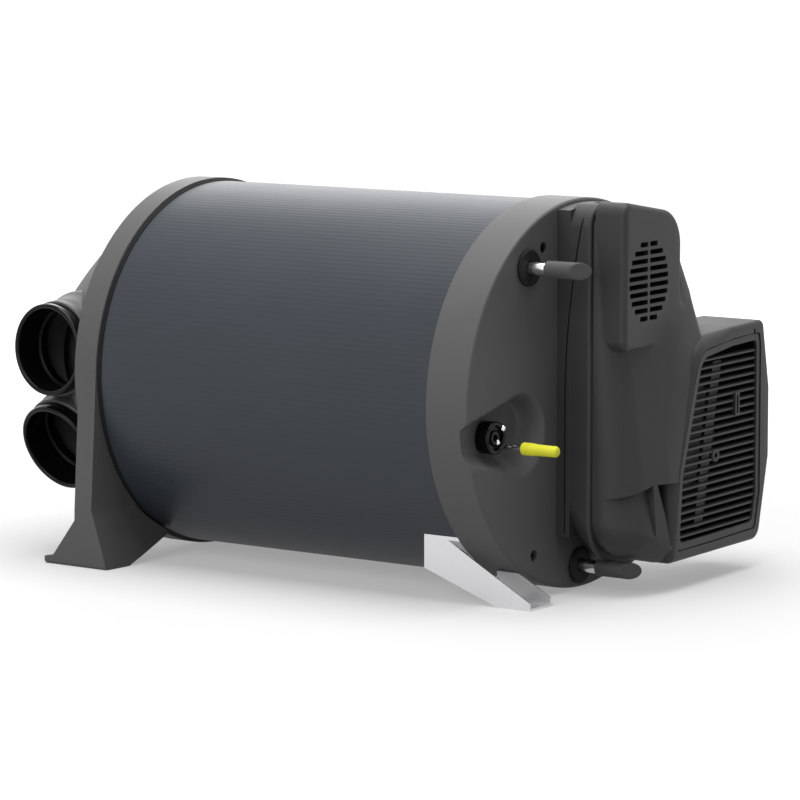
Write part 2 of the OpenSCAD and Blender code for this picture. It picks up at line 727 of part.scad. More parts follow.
fan_motor_len = 20;
fan_drum_len = 21;
fan_chord = air_wheel_d / 6.5;
fan_motor_r = air_wheel_d / 4 + 1;

module circulation_fan_motor() color("gray") on_axis() difference() {
    rod_x(x_fan + mount_t, fan_at, fan_motor_r, fan_motor_len);
    rod_x(x_fan + mount_t + 4, fan_at, fan_shaft_r + run_gap, fan_motor_len);
}

// Drum wheel that turns round its motor on a short shaft
module circulation_fan_wheel() color("whitesmoke") on_axis() {
    back_x = x_fan + mount_t + fan_motor_len + 2;
    translate([0, fan_at[0], fan_at[1]]) {
        draw_x(back_x - fan_drum_len + 2, fan_drum_len) blade_ring(air_wheel_d / 2, fan_chord, 40);
        draw_x(back_x, 2) circle(air_wheel_d / 2);
        draw_x(back_x - fan_drum_len + 2, 2) difference() {
            circle(air_wheel_d / 2);
            circle(air_wheel_d / 2 - fan_chord);
        }
    }
    rod_x(x_fan + mount_t + 5, fan_at, fan_shaft_r, fan_motor_len - 2);
}

// Controls

module control_board() color("darkgreen") on_axis() {
    board_x = x_face + post_h;
    translate([board_x, board_at[0] - board_size[0] / 2, board_at[1] - board_size[1] / 2]) {
        cube([board_t, board_size[0], board_size[1]]);
        translate([board_t, 5, 10]) cube([12, 15, 18]);
        translate([board_t, 24, 10]) cube([12, 15, 18]);
        translate([board_t, 6, 36]) cube([3, 18, 18]);
        translate([board_t, 32, 36]) cube([9, 12, 26]);
    }
    for (row = [0 : 2]) rod_x(board_x + board_t, board_at + [-14 + 11 * row, 25], 4, 10);
}

// Water and fuel connections

// Rubber grommet with a flange outside the end face and a neck through it
module grommet(at, bore_r) on_axis() difference() {
    union() {
        rod_x(x_face, at, grommet_d / 2, grommet_flange);
        rod_x(x_face - cap_wall, at, grommet_d / 2 - 3 - seat_gap / 2, cap_wall + past);
    }
    rod_x(x_face - cap_wall - past, at, bore_r, cap_wall + grommet_flange + 2 * past);
}

module nipple(x, at) on_axis() difference() {
    rod_x(x, at, nipple_r, x_face + nipple_len - x);
    rod_x(x - past, at, nipple_bore_r, x_face + nipple_len - x + 2 * past);
}

// Push-on cap with a blind bore and a rounded nose
module push_cap(x, at, r, bore_r, cover_len, len) on_axis() difference() {
    translate([x, at[0], at[1]]) rotate([0, 90, 0]) rotate_extrude() intersection() {
        union() {
            square([r, len - r * 0.6]);
            translate([0, len - r]) circle(r);
        }
        square([r, len]);
    }
    rod_x(x - past, at, bore_r, cover_len + past + 1);
}

// Water cap: a round sleeve over the nipple, closed by a slanted end that faces the front
module slant_cap(at) {
    r = push_cap_bore_r + push_cap_wall;
    on_axis() difference() {
        rod_x(x_face + nipple_bare, at, r, push_cap_len);
        rod_x(x_face + nipple_bare - past, at, push_cap_bore_r, nipple_len - nipple_bare + past + 0.5);
        translate([x_face + nipple_bare + push_cap_len, at[0] + r, at[1]]) rotate([0, 0, -slant])
            translate([0, -4 * r, -2 * r]) cube(8 * r);
    }
}

slant = 45;

module hot_water_grommet() color([0.06, 0.06, 0.06]) grommet(hot_at, nipple_r + run_gap);
module hot_water_nipple() color("silver") nipple(tank_end_x - tank_wall, hot_at);
module hot_water_cap() color([0.3, 0.3, 0.3]) slant_cap(hot_at);
module cold_water_grommet() color([0.06, 0.06, 0.06]) grommet(cold_at, nipple_r + run_gap);
module cold_water_cap() color([0.3, 0.3, 0.3]) slant_cap(cold_at);

block_len = 20;

// Inlet block that steps the cold feed down from the tank's port to the nipple
module cold_water_block() color("tan") on_axis() difference() {
    translate([tank_end_x, cold_at[0] - 9, cold_at[1] - nipple_r - 2])
        cube([block_len, 18, cold_port_z - cold_at[1] + 2 * nipple_r + 3]);
    rod_x(tank_end_x - past, [cold_at[0], cold_port_z], nipple_bore_r, block_len - 4);
    translate([tank_end_x + block_len / 2, cold_at[0], cold_at[1]])
        cylinder(r = nipple_bore_r, h = cold_port_z - cold_at[1]);
    rod_x(tank_end_x + block_len / 2, cold_at, nipple_r + run_gap, block_len);
}

module cold_water_nipple() color("silver") nipple(tank_end_x + block_len / 2 + 4, cold_at);

// Domed plug that closes the service hole in the scoop
module fuel_plug() color([0.05, 0.05, 0.05]) on_axis() difference() {
    rod_x(x_face - scoop_depth, plug_at, plug_d / 2, scoop_depth + 1);
    rod_x(x_face - 1, plug_at, plug_d / 2 - 3, 3);
}

module fuel_pipe() color("silver") on_axis() difference() {
    rod_x(x_face - 24, fuel_at, fuel_d / 2, 24 + fuel_bare + fuel_cover);
    rod_x(x_face - 25, fuel_at, fuel_d / 2 - 1, 26 + fuel_bare + fuel_cover);
}

module fuel_cap() color("yellow")
    push_cap(x_face + fuel_bare, fuel_at, fuel_cap_d / 2, fuel_d / 2 + run_gap, fuel_cover, fuel_cap_len);

// Stubs on the rear flank: a neck let into the ring and a hose seat outside it
module stub(z, d) on_axis() translate([stub_x, 0, z]) rotate([-90, 0, 0]) difference() {
    union() {
        translate([0, 0, cap_bore_r - stub_inside]) cylinder(d = d - stub_step, h = cap_wall + stub_inside + 2);
        translate([0, 0, cap_r + 1]) cylinder(d = d, h = stub_len);
    }
    translate([0, 0, cap_bore_r - stub_inside - past]) cylinder(d = d - 4, h = cap_r + stub_len);
}

module exhaust_stub() color("silver") stub(exhaust_z, exhaust_d);
module combustion_air_stub() color([0.1, 0.1, 0.1]) stub(air_stub_z, air_stub_d);

// Sensors on the tank's end wall, half way between its skins
sensor_r = (tank_r + tank_bore_r) / 2;
probe_at = sensor_r * [sin(21), cos(21)];
switch_at = sensor_r * [sin(-10), cos(-10)];

module water_temperature_sensor() color("goldenrod") on_axis() {
    rod_x(tank_end_x, probe_at, 7, 8);
    rod_x(tank_end_x + 8, probe_at, 4, 12);
}

module overheat_switch() color("black") on_axis() {
    rod_x(tank_end_x, switch_at, 9, 5);
    rod_x(tank_end_x + 5, switch_at, 6, 5);
}

// Steel brackets

web_heel_x = x_cap - 34;
front_foot_x = x_face - 4;
rear_foot_x = web_heel_x - 4;
heel_w = 21;
saddle_r = jacket_r + seat_gap;
saddle_len = x_cap - 1 - web_heel_x;
saddle_w = flange_w + 3 * sheet;
web_top = axis_h - sqrt(pow(jacket_r, 2) - pow(web_out - sheet, 2)) - 0.6;
inner_out = web_out - flange_w;
inner_reach = 20;
screw_r = 2.2;

// Side outline of a bracket's web, from the jacket down to its foot
module web_outline(foot_x) polygon([
    [web_heel_x, web_top], [web_heel_x + heel_w, web_top], [foot_x + flange_len - 1, 6],
    [foot_x + flange_len, 0], [foot_x, 0], [web_heel_x, web_top / 2]]);

module bracket_slot(foot_x, z) translate([foot_x + flange_len / 2, -web_out + sheet + flange_w / 2, z]) {
    for (end = [-1, 1]) translate([0, end * (slot_len - slot_w) / 2, 0]) cylinder(d = slot_w, h = 3 * sheet);
    translate([-slot_w / 2, -(slot_len - slot_w) / 2, 0]) cube([slot_w, slot_len - slot_w, 3 * sheet]);
}

// Channel of an outer web, a floor flange and a lower inner web, with a saddle under the jacket
module bracket(foot_x, inner_top) translate([0, axis_y, 0]) {
    difference() {
        union() {
            draw_y(-web_out, sheet) web_outline(foot_x);
            translate([foot_x, -web_out, 0]) cube([flange_len, flange_w + sheet, sheet]);
            draw_y(-inner_out, sheet) intersection() {
                web_outline(foot_x);
                translate([foot_x - inner_reach, 0]) square([flange_len + inner_reach, inner_top]);
            }
        }
        bracket_slot(foot_x, -sheet);
    }
    difference() {
        intersection() {
            translate([0, 0, axis_h]) tube_x(web_heel_x, saddle_r + sheet, saddle_r, saddle_len);
            translate([web_heel_x, -web_out, 0]) cube([saddle_len, saddle_w, axis_h]);
        }
        for (x = screw_x) translate([x, 0, axis_h]) rotate([saddle_turn, 0, 0])
            cylinder(r = screw_r, h = 2 * cap_r);
    }
}

screw_x = [web_heel_x + saddle_len * 0.25, web_heel_x + saddle_len * 0.75];
saddle_turn = 180 - asin((web_out - saddle_w / 2) / saddle_r);
// The front inner web stays below the ring, the rear one runs up into its saddle
front_inner_top = axis_h - sqrt(pow(cap_r, 2) - pow(inner_out, 2)) - 1.5;
rear_inner_top = axis_h - sqrt(pow(saddle_r + sheet / 2, 2) - pow(inner_out, 2));

module front_bracket() color("whitesmoke") bracket(front_foot_x, front_inner_top);
module rear_bracket() color("whitesmoke")
    translate([0, 2 * axis_y, 0]) mirror([0, 1, 0]) bracket(rear_foot_x, rear_inner_top);

// Pan-head screws that hold each saddle to the jacket
module bracket_screws() color("gray") on_axis()
    for (rear = [false, true], x = screw_x) rear_copy(rear) translate([x, 0, 0]) rotate([saddle_turn, 0, 0])
        translate([0, 0, saddle_r]) {
            cylinder(r = screw_r - seat_gap, h = sheet + 0.5);
            translate([0, 0, sheet + 0.4]) cylinder(r = 2 * screw_r, h = 2);
        }

distributor_cap();
air_chamber();
outlet(upper_mouth, false);  // outlet_upper_front
outlet(lower_mouth, false);  // outlet_lower_front
outlet(upper_mouth, true);  // outlet_upper_rear
outlet(lower_mouth, true);  // outlet_lower_rear
jacket_seal();
jacket();
insulation();
water_tank();
heat_exchanger();
combustion_chamber();
burner_flange();
burner_head();
glow_plug();
blower_housing();
combustion_fan_wheel();
combustion_fan_shaft();
combustion_fan_motor();
end_cap();
hood();
intake_housing();
intake_grille();
fan_mount();
circulation_fan_motor();
circulation_fan_wheel();
control_board();
hot_water_grommet();
hot_water_nipple();
hot_water_cap();
cold_water_grommet();
cold_water_nipple();
cold_water_block();
cold_water_cap();
fuel_plug();
fuel_pipe();
fuel_cap();
front_bracket();
rear_bracket();
bracket_screws();
end_cap_screws();
exhaust_stub();
combustion_air_stub();
water_temperature_sensor();
overheat_switch();
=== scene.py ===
import json
import math

import bmesh
import bpy
import numpy as np
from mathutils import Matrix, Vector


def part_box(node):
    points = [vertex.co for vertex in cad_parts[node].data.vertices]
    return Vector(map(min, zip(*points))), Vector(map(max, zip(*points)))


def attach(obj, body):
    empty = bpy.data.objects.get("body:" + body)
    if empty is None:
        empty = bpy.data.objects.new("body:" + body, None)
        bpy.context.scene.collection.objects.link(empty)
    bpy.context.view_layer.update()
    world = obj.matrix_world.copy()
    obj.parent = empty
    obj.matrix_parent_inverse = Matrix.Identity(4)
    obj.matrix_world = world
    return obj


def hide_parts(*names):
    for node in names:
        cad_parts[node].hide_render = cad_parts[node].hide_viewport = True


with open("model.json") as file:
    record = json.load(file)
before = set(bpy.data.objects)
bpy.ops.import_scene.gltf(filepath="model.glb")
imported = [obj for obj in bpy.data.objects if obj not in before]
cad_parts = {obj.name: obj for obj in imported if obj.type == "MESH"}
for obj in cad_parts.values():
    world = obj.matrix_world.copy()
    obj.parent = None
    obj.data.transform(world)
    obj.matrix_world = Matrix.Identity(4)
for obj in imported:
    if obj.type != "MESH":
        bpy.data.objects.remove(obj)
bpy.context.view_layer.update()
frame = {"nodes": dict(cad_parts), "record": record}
scene = bpy.context.scene


# Distributor cap: the moulded arch rim that closes the drum's left end and stands on two splayed feet.
# Grey polypropylene with a fine spark-eroded grain, moulded in one piece; the feet are screwed to the floor.
jacket_low, jacket_high = (np.array(corner) * 1000 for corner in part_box("jacket"))
axis_y = (jacket_low[1] + jacket_high[1]) / 2
axis_h = (jacket_low[2] + jacket_high[2]) / 2
jacket_r = (jacket_high[2] - jacket_low[2]) / 2
x_dome, x_rim = (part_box("air_chamber")[end][0] * 1000 for end in (0, 1))
x_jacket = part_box("jacket_seal")[0][0] * 1000
x_cap = jacket_high[0]
x_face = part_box("hood")[0][0] * 1000


class Wire:
    """A shader socket in a node tree. Arithmetic on it adds Math nodes, and node() adds any other."""

    def __init__(self, tree, socket=None):
        self.tree, self.socket = tree, socket

    def node(self, kind, settings=None, feeds=None, out=0):
        """A node of a type, with its settings (a ramp's stops as (place, colour) pairs) and its sockets fed."""
        made = self.tree.nodes.new("ShaderNode" + kind)
        for key, value in (settings or {}).items():
            if key == "stops":
                while len(made.color_ramp.elements) < len(value):
                    made.color_ramp.elements.new(0.5)
                for element, (place, colour) in zip(made.color_ramp.elements, value):
                    element.position, element.color = place, colour
            else:
                setattr(made, key, value)
        for key, value in (feeds or {}).items():
            if isinstance(value, Wire):
                self.tree.links.new(value.socket, made.inputs[key])
            else:
                made.inputs[key].default_value = value
        return Wire(self.tree, made.outputs[out])

    def math(self, operation, first, second):
        """A Math node on two sockets or numbers."""
        return self.node("Math", {"operation": operation}, {0: first, 1: second})

    def __add__(self, other):
        return self.math("ADD", self, other)

    def __radd__(self, other):
        return self.math("ADD", other, self)

    def __sub__(self, other):
        return self.math("SUBTRACT", self, other)

    def __rsub__(self, other):
        return self.math("SUBTRACT", other, self)

    def __mul__(self, other):
        return self.math("MULTIPLY", self, other)

    def __rmul__(self, other):
        return self.math("MULTIPLY", other, self)

    def feed(self, shader, name):
        """Links this socket to one of a shader's."""
        self.tree.links.new(self.socket, shader.inputs[name])


def blank(name):
    """A new material, its shader and the Object coordinates of the piece."""
    material = bpy.data.materials.new(name)
    material.use_nodes = True
    shader = material.node_tree.nodes["Principled BSDF"]
    return material, shader, Wire(material.node_tree).node("TexCoord", out="Object")


def shade(colour, factor):
    """A colour times a factor, as four numbers."""
    return tuple(part * factor for part in colour) + (1,)


def moulded(name, colour, gloss, mottle=0.1, grain=0.9, depth=0.12, shine=0.28):
    """Moulded plastic. Its mottle is noise of 50 mm in colour and roughness, and its grain is noise of grain mm,
    which raises the surface by depth mm. The roughness averages 1 - gloss."""
    material, shader, place = blank(name)
    slow = place.node("TexNoise", None, {"Vector": place, "Scale": 20, "Detail": 4, "Roughness": 0.6})
    fine = place.node("TexNoise", None, {"Vector": place, "Scale": 1000 / grain, "Detail": 2})
    tone = place.node("Mix", {"data_type": "RGBA"},
                      {0: slow, 6: shade(colour, 1 - mottle), 7: shade(colour, 1 + mottle)}, out=2)
    tone.feed(shader, "Base Color")
    (slow * 0.16 + fine * 0.1 + (1 - gloss - 0.13)).feed(shader, "Roughness")
    place.node("Bump", None, {"Strength": 0.5, "Distance": depth * 0.001, "Height": fine}).feed(shader, "Normal")
    shader.inputs["Specular IOR Level"].default_value = shine
    return material


def surface(name, *sheets, sharp=34):
    """One mesh from sheets of points in mm, from the drum's axis. Quad (i, j) joins points i, j to i + 1, j + 1,
    and runs round to the first row or column where the sheet closes. Poles are merged, faces turned outwards."""
    points, quads, start = [], [], 0
    for sheet, close_rows, close_columns in sheets:
        rows, columns = sheet.shape[:2]
        i = np.arange(rows if close_rows else rows - 1)[:, None]
        j = np.arange(columns if close_columns else columns - 1)[None, :]
        below, beside = (i + 1) % rows * columns, (j + 1) % columns
        quad = np.stack(np.broadcast_arrays(i * columns + j, i * columns + beside, below + beside, below + j), -1)
        quads.append(quad.reshape(-1, 4) + start)
        points.append(sheet.reshape(-1, 3))
        start += rows * columns
    mesh = bpy.data.meshes.new(name)
    mesh.from_pydata((np.concatenate(points) + [0, axis_y, axis_h]) * 0.001, [], np.concatenate(quads))
    welded = bmesh.new()
    welded.from_mesh(mesh)
    bmesh.ops.remove_doubles(welded, verts=welded.verts, dist=2e-6)
    bmesh.ops.dissolve_degenerate(welded, edges=welded.edges, dist=2e-6)
    bmesh.ops.recalc_face_normals(welded, faces=welded.faces)
    welded.to_mesh(mesh)
    welded.free()
    mesh.shade_smooth()
    mesh.set_sharp_from_angle(angle=math.radians(sharp))
    piece = bpy.data.objects.new(name, mesh)
    scene.collection.objects.link(piece)
    return piece


def dress(piece, material, slot, *nodes, body="heater"):
    """Gives a piece its material and body, and lets it stand for its CAD nodes. Its slot argument is not used."""
    piece.data.materials.clear()
    piece.data.materials.append(material)
    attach(piece, body)
    if nodes:
        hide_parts(*nodes)
    return piece


def soften(corners, radius, steps=6):
    """An outline with each corner made an arc. The arc's centre is radius / sin(half the corner's angle) along the
    bisector, and its points swing evenly from one side's tangent point to the next side's."""
    corners = np.asarray(corners, float)
    radius = np.broadcast_to(np.asarray(radius, float), len(corners))
    back, ahead = np.roll(corners, 1, 0) - corners, np.roll(corners, -1, 0) - corners
    back /= np.linalg.norm(back, axis=1)[:, None]
    ahead /= np.linalg.norm(ahead, axis=1)[:, None]
    half = np.clip(np.arccos(np.clip((back * ahead).sum(1), -1, 1)) / 2, 1e-3, math.pi / 2 - 1e-3)
    bisector = (back + ahead) / np.maximum(np.linalg.norm(back + ahead, axis=1), 1e-9)[:, None]
    centre = corners + bisector * (radius / np.sin(half))[:, None]
    first = corners + back * (radius / np.tan(half))[:, None] - centre
    last = corners + ahead * (radius / np.tan(half))[:, None] - centre
    swing = (math.pi - 2 * half)[:, None, None]
    step = np.linspace(0, 1, steps)[None, :, None]
    arc = (np.sin((1 - step) * swing) * first[:, None] + np.sin(step * swing) * last[:, None]) / np.sin(swing)
    return (centre[:, None] + arc).reshape(-1, 2)


def arc(radius, start, end, steps):
    """Points on a circle about the axis, from one angle to another in degrees, as (rear, up)."""
    turn = np.radians(np.linspace(start, end, steps))
    return np.stack([radius * np.cos(turn), radius * np.sin(turn)], 1)


rim_r, rim_bore_r = jacket_r + 2.5, jacket_r - 6
foot_out = -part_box("distributor_cap")[0][1] * 1000 + axis_y
foot_depth, foot_h, arch_h, leg_set = 31, 46, 20, 3.5
springing = math.degrees(math.asin((arch_h - axis_h) / rim_r)) + 360
leg = np.array([[rim_r, 0], [foot_out - 0.7, foot_h - axis_h], [foot_out, 2 - axis_h], [foot_out - 2, -axis_h],
                [foot_out - foot_depth + 2, -axis_h], [foot_out - foot_depth - 1, 1.4 - axis_h],
                arc(rim_r, springing, springing, 1)[0]])
along_leg = np.linspace(0, 6, 145)
leg = np.stack([np.interp(along_leg, np.arange(7), leg[:, side]) for side in (0, 1)], 1)
outline = np.concatenate([arc(rim_r, 0, 180, 97)[1:-1], leg * [-1, 1],
                          arc(rim_r, 540 - springing, springing, 61)[1:-1], leg[::-1]])
reach = np.linalg.norm(outline, axis=1)
inner = outline * (rim_bore_r / reach)[:, None]
# Stations along each ray from bore to outline: the bore, the drum's radius twice, then the heights at which
# the foot flares
breaks = np.array([46, 41, 37, 30, 22, 14, 9, 7.5, 6, 3]) - axis_h
rim_share = np.clip((rim_r - rim_bore_r) / np.maximum(reach - rim_bore_r, 1e-6), 0, 1)
fall = np.minimum(outline[:, 1] - inner[:, 1], -1e-6)
share = np.clip((breaks[None] - inner[:, 1:]) / fall[:, None], rim_share[:, None], 1)
share = np.where(outline[:, 1:] > inner[:, 1:], 1, share)
share = np.concatenate([np.zeros((len(outline), 1)), rim_share[:, None], rim_share[:, None], share,
                        np.ones((len(outline), 1))], 1)
ray = inner[:, None] + share[..., None] * (outline - inner)[:, None]
height = ray[..., 1] + axis_h
on_leg = np.clip((reach - rim_r) / 2, 0, 1)[:, None] * (np.arange(share.shape[1]) > 1)
flare_right = np.interp(height, [0, 6, foot_h], [15, 14, 0])
flare_left = np.interp(height, [0, 6, 7.5, 37], [28, 28, 19, -leg_set])
right = np.concatenate([(x_jacket + on_leg * flare_right)[..., None], ray], -1)
left = np.concatenate([(x_rim - on_leg * flare_left)[..., None], ray], -1)
distributor = surface("rim_and_feet", (np.concatenate([right, left[:, ::-1]], 1), True, True), sharp=28)
eased = distributor.modifiers.new("eased edges", "BEVEL")
eased.width, eased.segments, eased.angle_limit = 0.0009, 2, math.radians(34)
cap_plastic = moulded("cap plastic", (0.104, 0.104, 0.105), 0.5)
dress(distributor, cap_plastic, "cap_plastic", "distributor_cap")


# Air chamber: the domed cover left of the rim, which gathers the warm air and carries four trumpet-rooted bosses.
# The same grey plastic as the rim, a 3 mm shell screwed to it from inside.
def turned(profile, at=(0, 0, 0), along=(1, 0, 0), turns=96):
    """A profile of (radius, distance) carried round an axis:
    at + distance * along + radius * (cos * side + sin * up)."""
    profile = np.asarray(profile, float)
    along = np.asarray(along, float) / np.linalg.norm(along)
    side = np.cross(along, (0, 0, 1) if abs(along[2]) < 0.9 else (1, 0, 0))
    side /= np.linalg.norm(side)
    turn = np.linspace(0, 2 * math.pi, turns, endpoint=False)[:, None]
    ring = np.cos(turn) * side + np.sin(turn) * np.cross(along, side)
    return np.asarray(at, float) + profile[:, None, 1:] * along + profile[:, None, :1] * ring[None]


def carve(piece, tool, operation="DIFFERENCE", sharp=34):
    """Cuts a tool's solid out of a piece, or joins it on, and drops the tool."""
    step = piece.modifiers.new("carve", "BOOLEAN")
    step.operation, step.object, step.solver = operation, tool, "MANIFOLD"
    done = bpy.data.meshes.new_from_object(piece.evaluated_get(bpy.context.evaluated_depsgraph_get()))
    piece.modifiers.clear()
    old, piece.data = piece.data, done
    bpy.data.meshes.remove(old)
    bpy.data.meshes.remove(tool.data)
    piece.data.shade_smooth()
    piece.data.set_sharp_from_angle(angle=math.radians(sharp))


def dome(inset, depth, end_r=73, base_r=jacket_r - 5, bulge=2.4, edge=14, steps=24):
    """Dome profile: a flank from base to end that bows out by bulge, rounded over into the flat end. The inset
    draws it in for the hollow."""
    share_out = np.linspace(0, 1, steps)
    flank = np.stack([base_r + (end_r - base_r) * share_out + 4 * bulge * share_out * (1 - share_out),
                      depth * share_out], 1)[:-4]
    over = soften([flank[-1], [end_r, depth], [0, depth]], [0, edge, 0], 10)[10:20]
    return np.concatenate([[[0, 0]], flank, over, [[0, depth]]]) - inset


depth = x_rim - x_dome
wall, past_rim = 3, 5
shell = np.concatenate([[[0, 0], [jacket_r, 0], [jacket_r, wall]], dome(0, depth)[2:]])
# An air guide stays in the middle, between opposite outlets
hub_r = 66
hollow = np.maximum(dome(wall, depth), [0, -past_rim])
hollow[:2] = [[hub_r, -past_rim], [jacket_r - 8, -past_rim]]
hollow[-1, 0] = hub_r
chamber = surface("chamber_dome", (turned(shell, (x_rim, 0, 0), (-1, 0, 0), 160), False, True))
ducts = {mount["name"]: mount for mount in frame["record"]["mounts"] if mount["name"].startswith("duct_")}
outlet_bore_r, outlet_r = 32.5, 36.0
bosses = []
for name, mount in ducts.items():
    way = np.array(mount["axis"], float)
    middle = np.array(mount["pos_m"]) * 1000 - [0, axis_y, axis_h]
    bosses.append((name.replace("duct_", "outlet_"), middle + way * mount["dims"]["length_mm"] / 2, way))
boss_r, boss_end, boss_root = outlet_r + 2.2, -11, -80
flare, flare_at, flare_fall = 6, -38, 9
along_boss = np.linspace(boss_root, boss_end - 0.8, 36)
flared = flare * np.exp((flare_at - along_boss) / flare_fall).clip(0, 1) * (along_boss < -20)
trumpet = np.concatenate([[[0, boss_root]], np.stack([boss_r + flared, along_boss], 1),
                          [[boss_r - 0.8, boss_end], [0, boss_end]]])
for _, mouth, way in bosses:
    carve(chamber, surface("tool", (turned(trumpet, mouth, way, 96), False, True)), "UNION")
carve(chamber, surface("tool", (turned(hollow, (x_rim, 0, 0), (-1, 0, 0), 128), True, True)))
# Nothing of the bosses stands past the rim's face or the dome's end
beyond = [[0, 0.01], [260, 0.01], [260, 60], [0, 60]]
for x_end, side in ((x_rim, 1), (x_dome, -1)):
    carve(chamber, surface("tool", (turned(beyond, (x_end, 0, 0), (side, 0, 0), 96), False, True)))
seat_r = outlet_r + 0.2
seat = [[0, -95], [seat_r, -95], [seat_r, 20], [0, 20]]
for _, mouth, way in bosses:
    carve(chamber, surface("tool", (turned(seat, mouth, way, 128), False, True)))
dress(chamber, cap_plastic, "cap_plastic", "air_chamber")


# Warm-air outlets: four stubs that take 65 mm ducts, with a rolled lip and a stop ring inside.
# Glossy black plastic, moulded and snapped into the bosses.
black_gloss = moulded("black gloss", (0.004, 0.004, 0.0042), 0.88, mottle=0.2, grain=2.5, depth=0.01, shine=0.16)
stub = soften([[outlet_r, -26], [outlet_r, -8], [outlet_r + 0.8, -5], [outlet_r + 0.8, 0], [outlet_bore_r, 0],
               [outlet_bore_r, -24], [outlet_bore_r - 2, -24], [outlet_bore_r - 2, -32], [outlet_r - 2.5, -32],
               [outlet_r - 2.5, -26]], [0.4, 2, 2, 2, 2.2, 0.5, 0.8, 0.5, 0.5, 0.4], 7)
for name, mouth, way in bosses:
    stub_piece = surface(name + "_stub", (turned(stub, mouth, way, 128), True, True))
    dress(stub_piece, black_gloss, "outlet_plastic", name)


# Jacket seal: the rubber bead between rim and jacket.
# An extruded EPDM ring, pressed in when the jacket is pushed home.
rubber = moulded("black rubber", (0.006, 0.006, 0.0064), 0.34, mottle=0.25, grain=0.5, depth=0.06, shine=0.2)
bead = soften([[jacket_r + 0.6, 0], [jacket_r + 0.6, 3], [rim_bore_r + 1.5, 3], [rim_bore_r + 1.5, 0]],
              [0.5, 1.2, 0.3, 0.3], 5)
dress(surface("seal_bead", (turned(bead, (x_jacket, 0, 0), turns=256), True, True)), rubber,
      "black_rubber", "jacket_seal")


# Inner works: foam, water tank, finned heat exchanger, burner, both fans and the control board.
# Drawn stainless, cast aluminium and moulded plastic, all shut in by the jacket, the end cap and the hood.
# They keep their solids and get only a finish.
def metal(name, colour, rough, drawn_way=(1, 1, 1), depth=0.02):
    """Bare metal. Its streaks are noise stretched along the way it was drawn, in colour, roughness and bump.
    The roughness averages rough."""
    material, shader, place = blank(name)
    stretched = place.node("Mapping", None, {"Vector": place, "Scale": drawn_way})
    streak = place.node("TexNoise", None, {"Vector": stretched, "Scale": 60, "Detail": 4, "Roughness": 0.65})
    cloud = place.node("TexNoise", None, {"Vector": place, "Scale": 14, "Detail": 3})
    place.node("Mix", {"data_type": "RGBA"},
               {0: streak, 6: shade(colour, 0.88), 7: shade(colour, 1.08)}, out=2).feed(shader, "Base Color")
    (streak * 0.14 + cloud * 0.1 + (rough - 0.12)).feed(shader, "Roughness")
    place.node("Bump", None, {"Strength": 0.4, "Distance": depth * 0.001, "Height": streak}).feed(shader, "Normal")
    shader.inputs["Metallic"].default_value = 1
    return material


def finish_nodes(material, *nodes):
    """Gives solids that are shown as they are a material."""
    for node in nodes:
        for holder in frame["nodes"][node].material_slots:
            holder.material = material


stainless = metal("drawn stainless", (0.55, 0.55, 0.55), 0.32, (4, 40, 40))
aluminium = metal("cast aluminium", (0.6, 0.6, 0.61), 0.5)
motor_paint = moulded("motor paint", (0.02, 0.02, 0.021), 0.5)
blade_plastic = moulded("blade plastic", (0.03, 0.03, 0.03), 0.45)
finish_nodes(moulded("foam", (0.5, 0.5, 0.5), 0.1, grain=3, depth=0.4), "insulation")
finish_nodes(stainless, "water_tank", "combustion_chamber", "burner_flange", "burner_head", "glow_plug",
             "combustion_fan_shaft")
finish_nodes(aluminium, "heat_exchanger", "blower_housing")
finish_nodes(motor_paint, "combustion_fan_motor", "circulation_fan_motor", "fan_mount")
finish_nodes(blade_plastic, "combustion_fan_wheel", "circulation_fan_wheel")
finish_nodes(moulded("board lacquer", (0.02, 0.12, 0.04), 0.6), "control_board")
finish_nodes(metal("machined brass", (0.6, 0.45, 0.2), 0.3), "cold_water_block", "water_temperature_sensor")
finish_nodes(black_gloss, "overheat_switch")


# Jacket: the drum's outer skin over the foam.
# A blue-grey satin sheet with fine ribs pressed along it, rolled round the drum and held by the rim and the
# end cap.
ribs, rib_steps, rib_depth = 224, 8, 0.09
turn = np.linspace(0, 2 * math.pi, ribs * rib_steps, endpoint=False)
groove = np.clip(np.cos(turn * ribs) - 0.4, 0, 1) / 0.6 * rib_depth
skin_x = jacket_low[0] + np.array([0, 0.6, 2, 4, x_cap - 4 - jacket_low[0], x_cap - 0.2 - jacket_low[0],
                                   x_cap - jacket_low[0]])
ribbed = np.array([0, 0, 0.3, 1, 1, 1, 1])
skin_r = jacket_r - np.array([0.6, 0.1, 0, 0, 0, 0, 0.3])[:, None] - ribbed[:, None] * groove[None]
lining_r = np.full((2, len(turn)), jacket_r - 1.5)
radius = np.concatenate([skin_r, lining_r])
station = np.broadcast_to(np.concatenate([skin_x, [x_cap, jacket_low[0]]])[:, None], radius.shape)
skin = np.stack([station, radius * np.cos(turn), radius * np.sin(turn)], -1)
jacket = surface("jacket_skin", (skin, True, True), sharp=50)
satin, shader, place = blank("jacket sheet")
cloud = place.node("TexNoise", None, {"Vector": place, "Scale": 9, "Detail": 5, "Roughness": 0.62})
along = place.node("Mapping", None, {"Vector": place, "Scale": (4, 260, 260)})
drawn_lines = place.node("TexNoise", None, {"Vector": along, "Scale": 3, "Detail": 3})
tone = place.node("Mix", {"data_type": "RGBA"},
                  {0: cloud, 6: (0.031, 0.037, 0.046, 1), 7: (0.041, 0.048, 0.059, 1)}, out=2)
tone.feed(shader, "Base Color")
(cloud * 0.1 + drawn_lines * 0.1 + 0.32).feed(shader, "Roughness")
shader.inputs["Specular IOR Level"].default_value = 0.3
place.node("Bump", None, {"Strength": 0.25, "Distance": 0.0001, "Height": drawn_lines}).feed(shader, "Normal")
dress(jacket, satin, "jacket_sheet", "jacket")


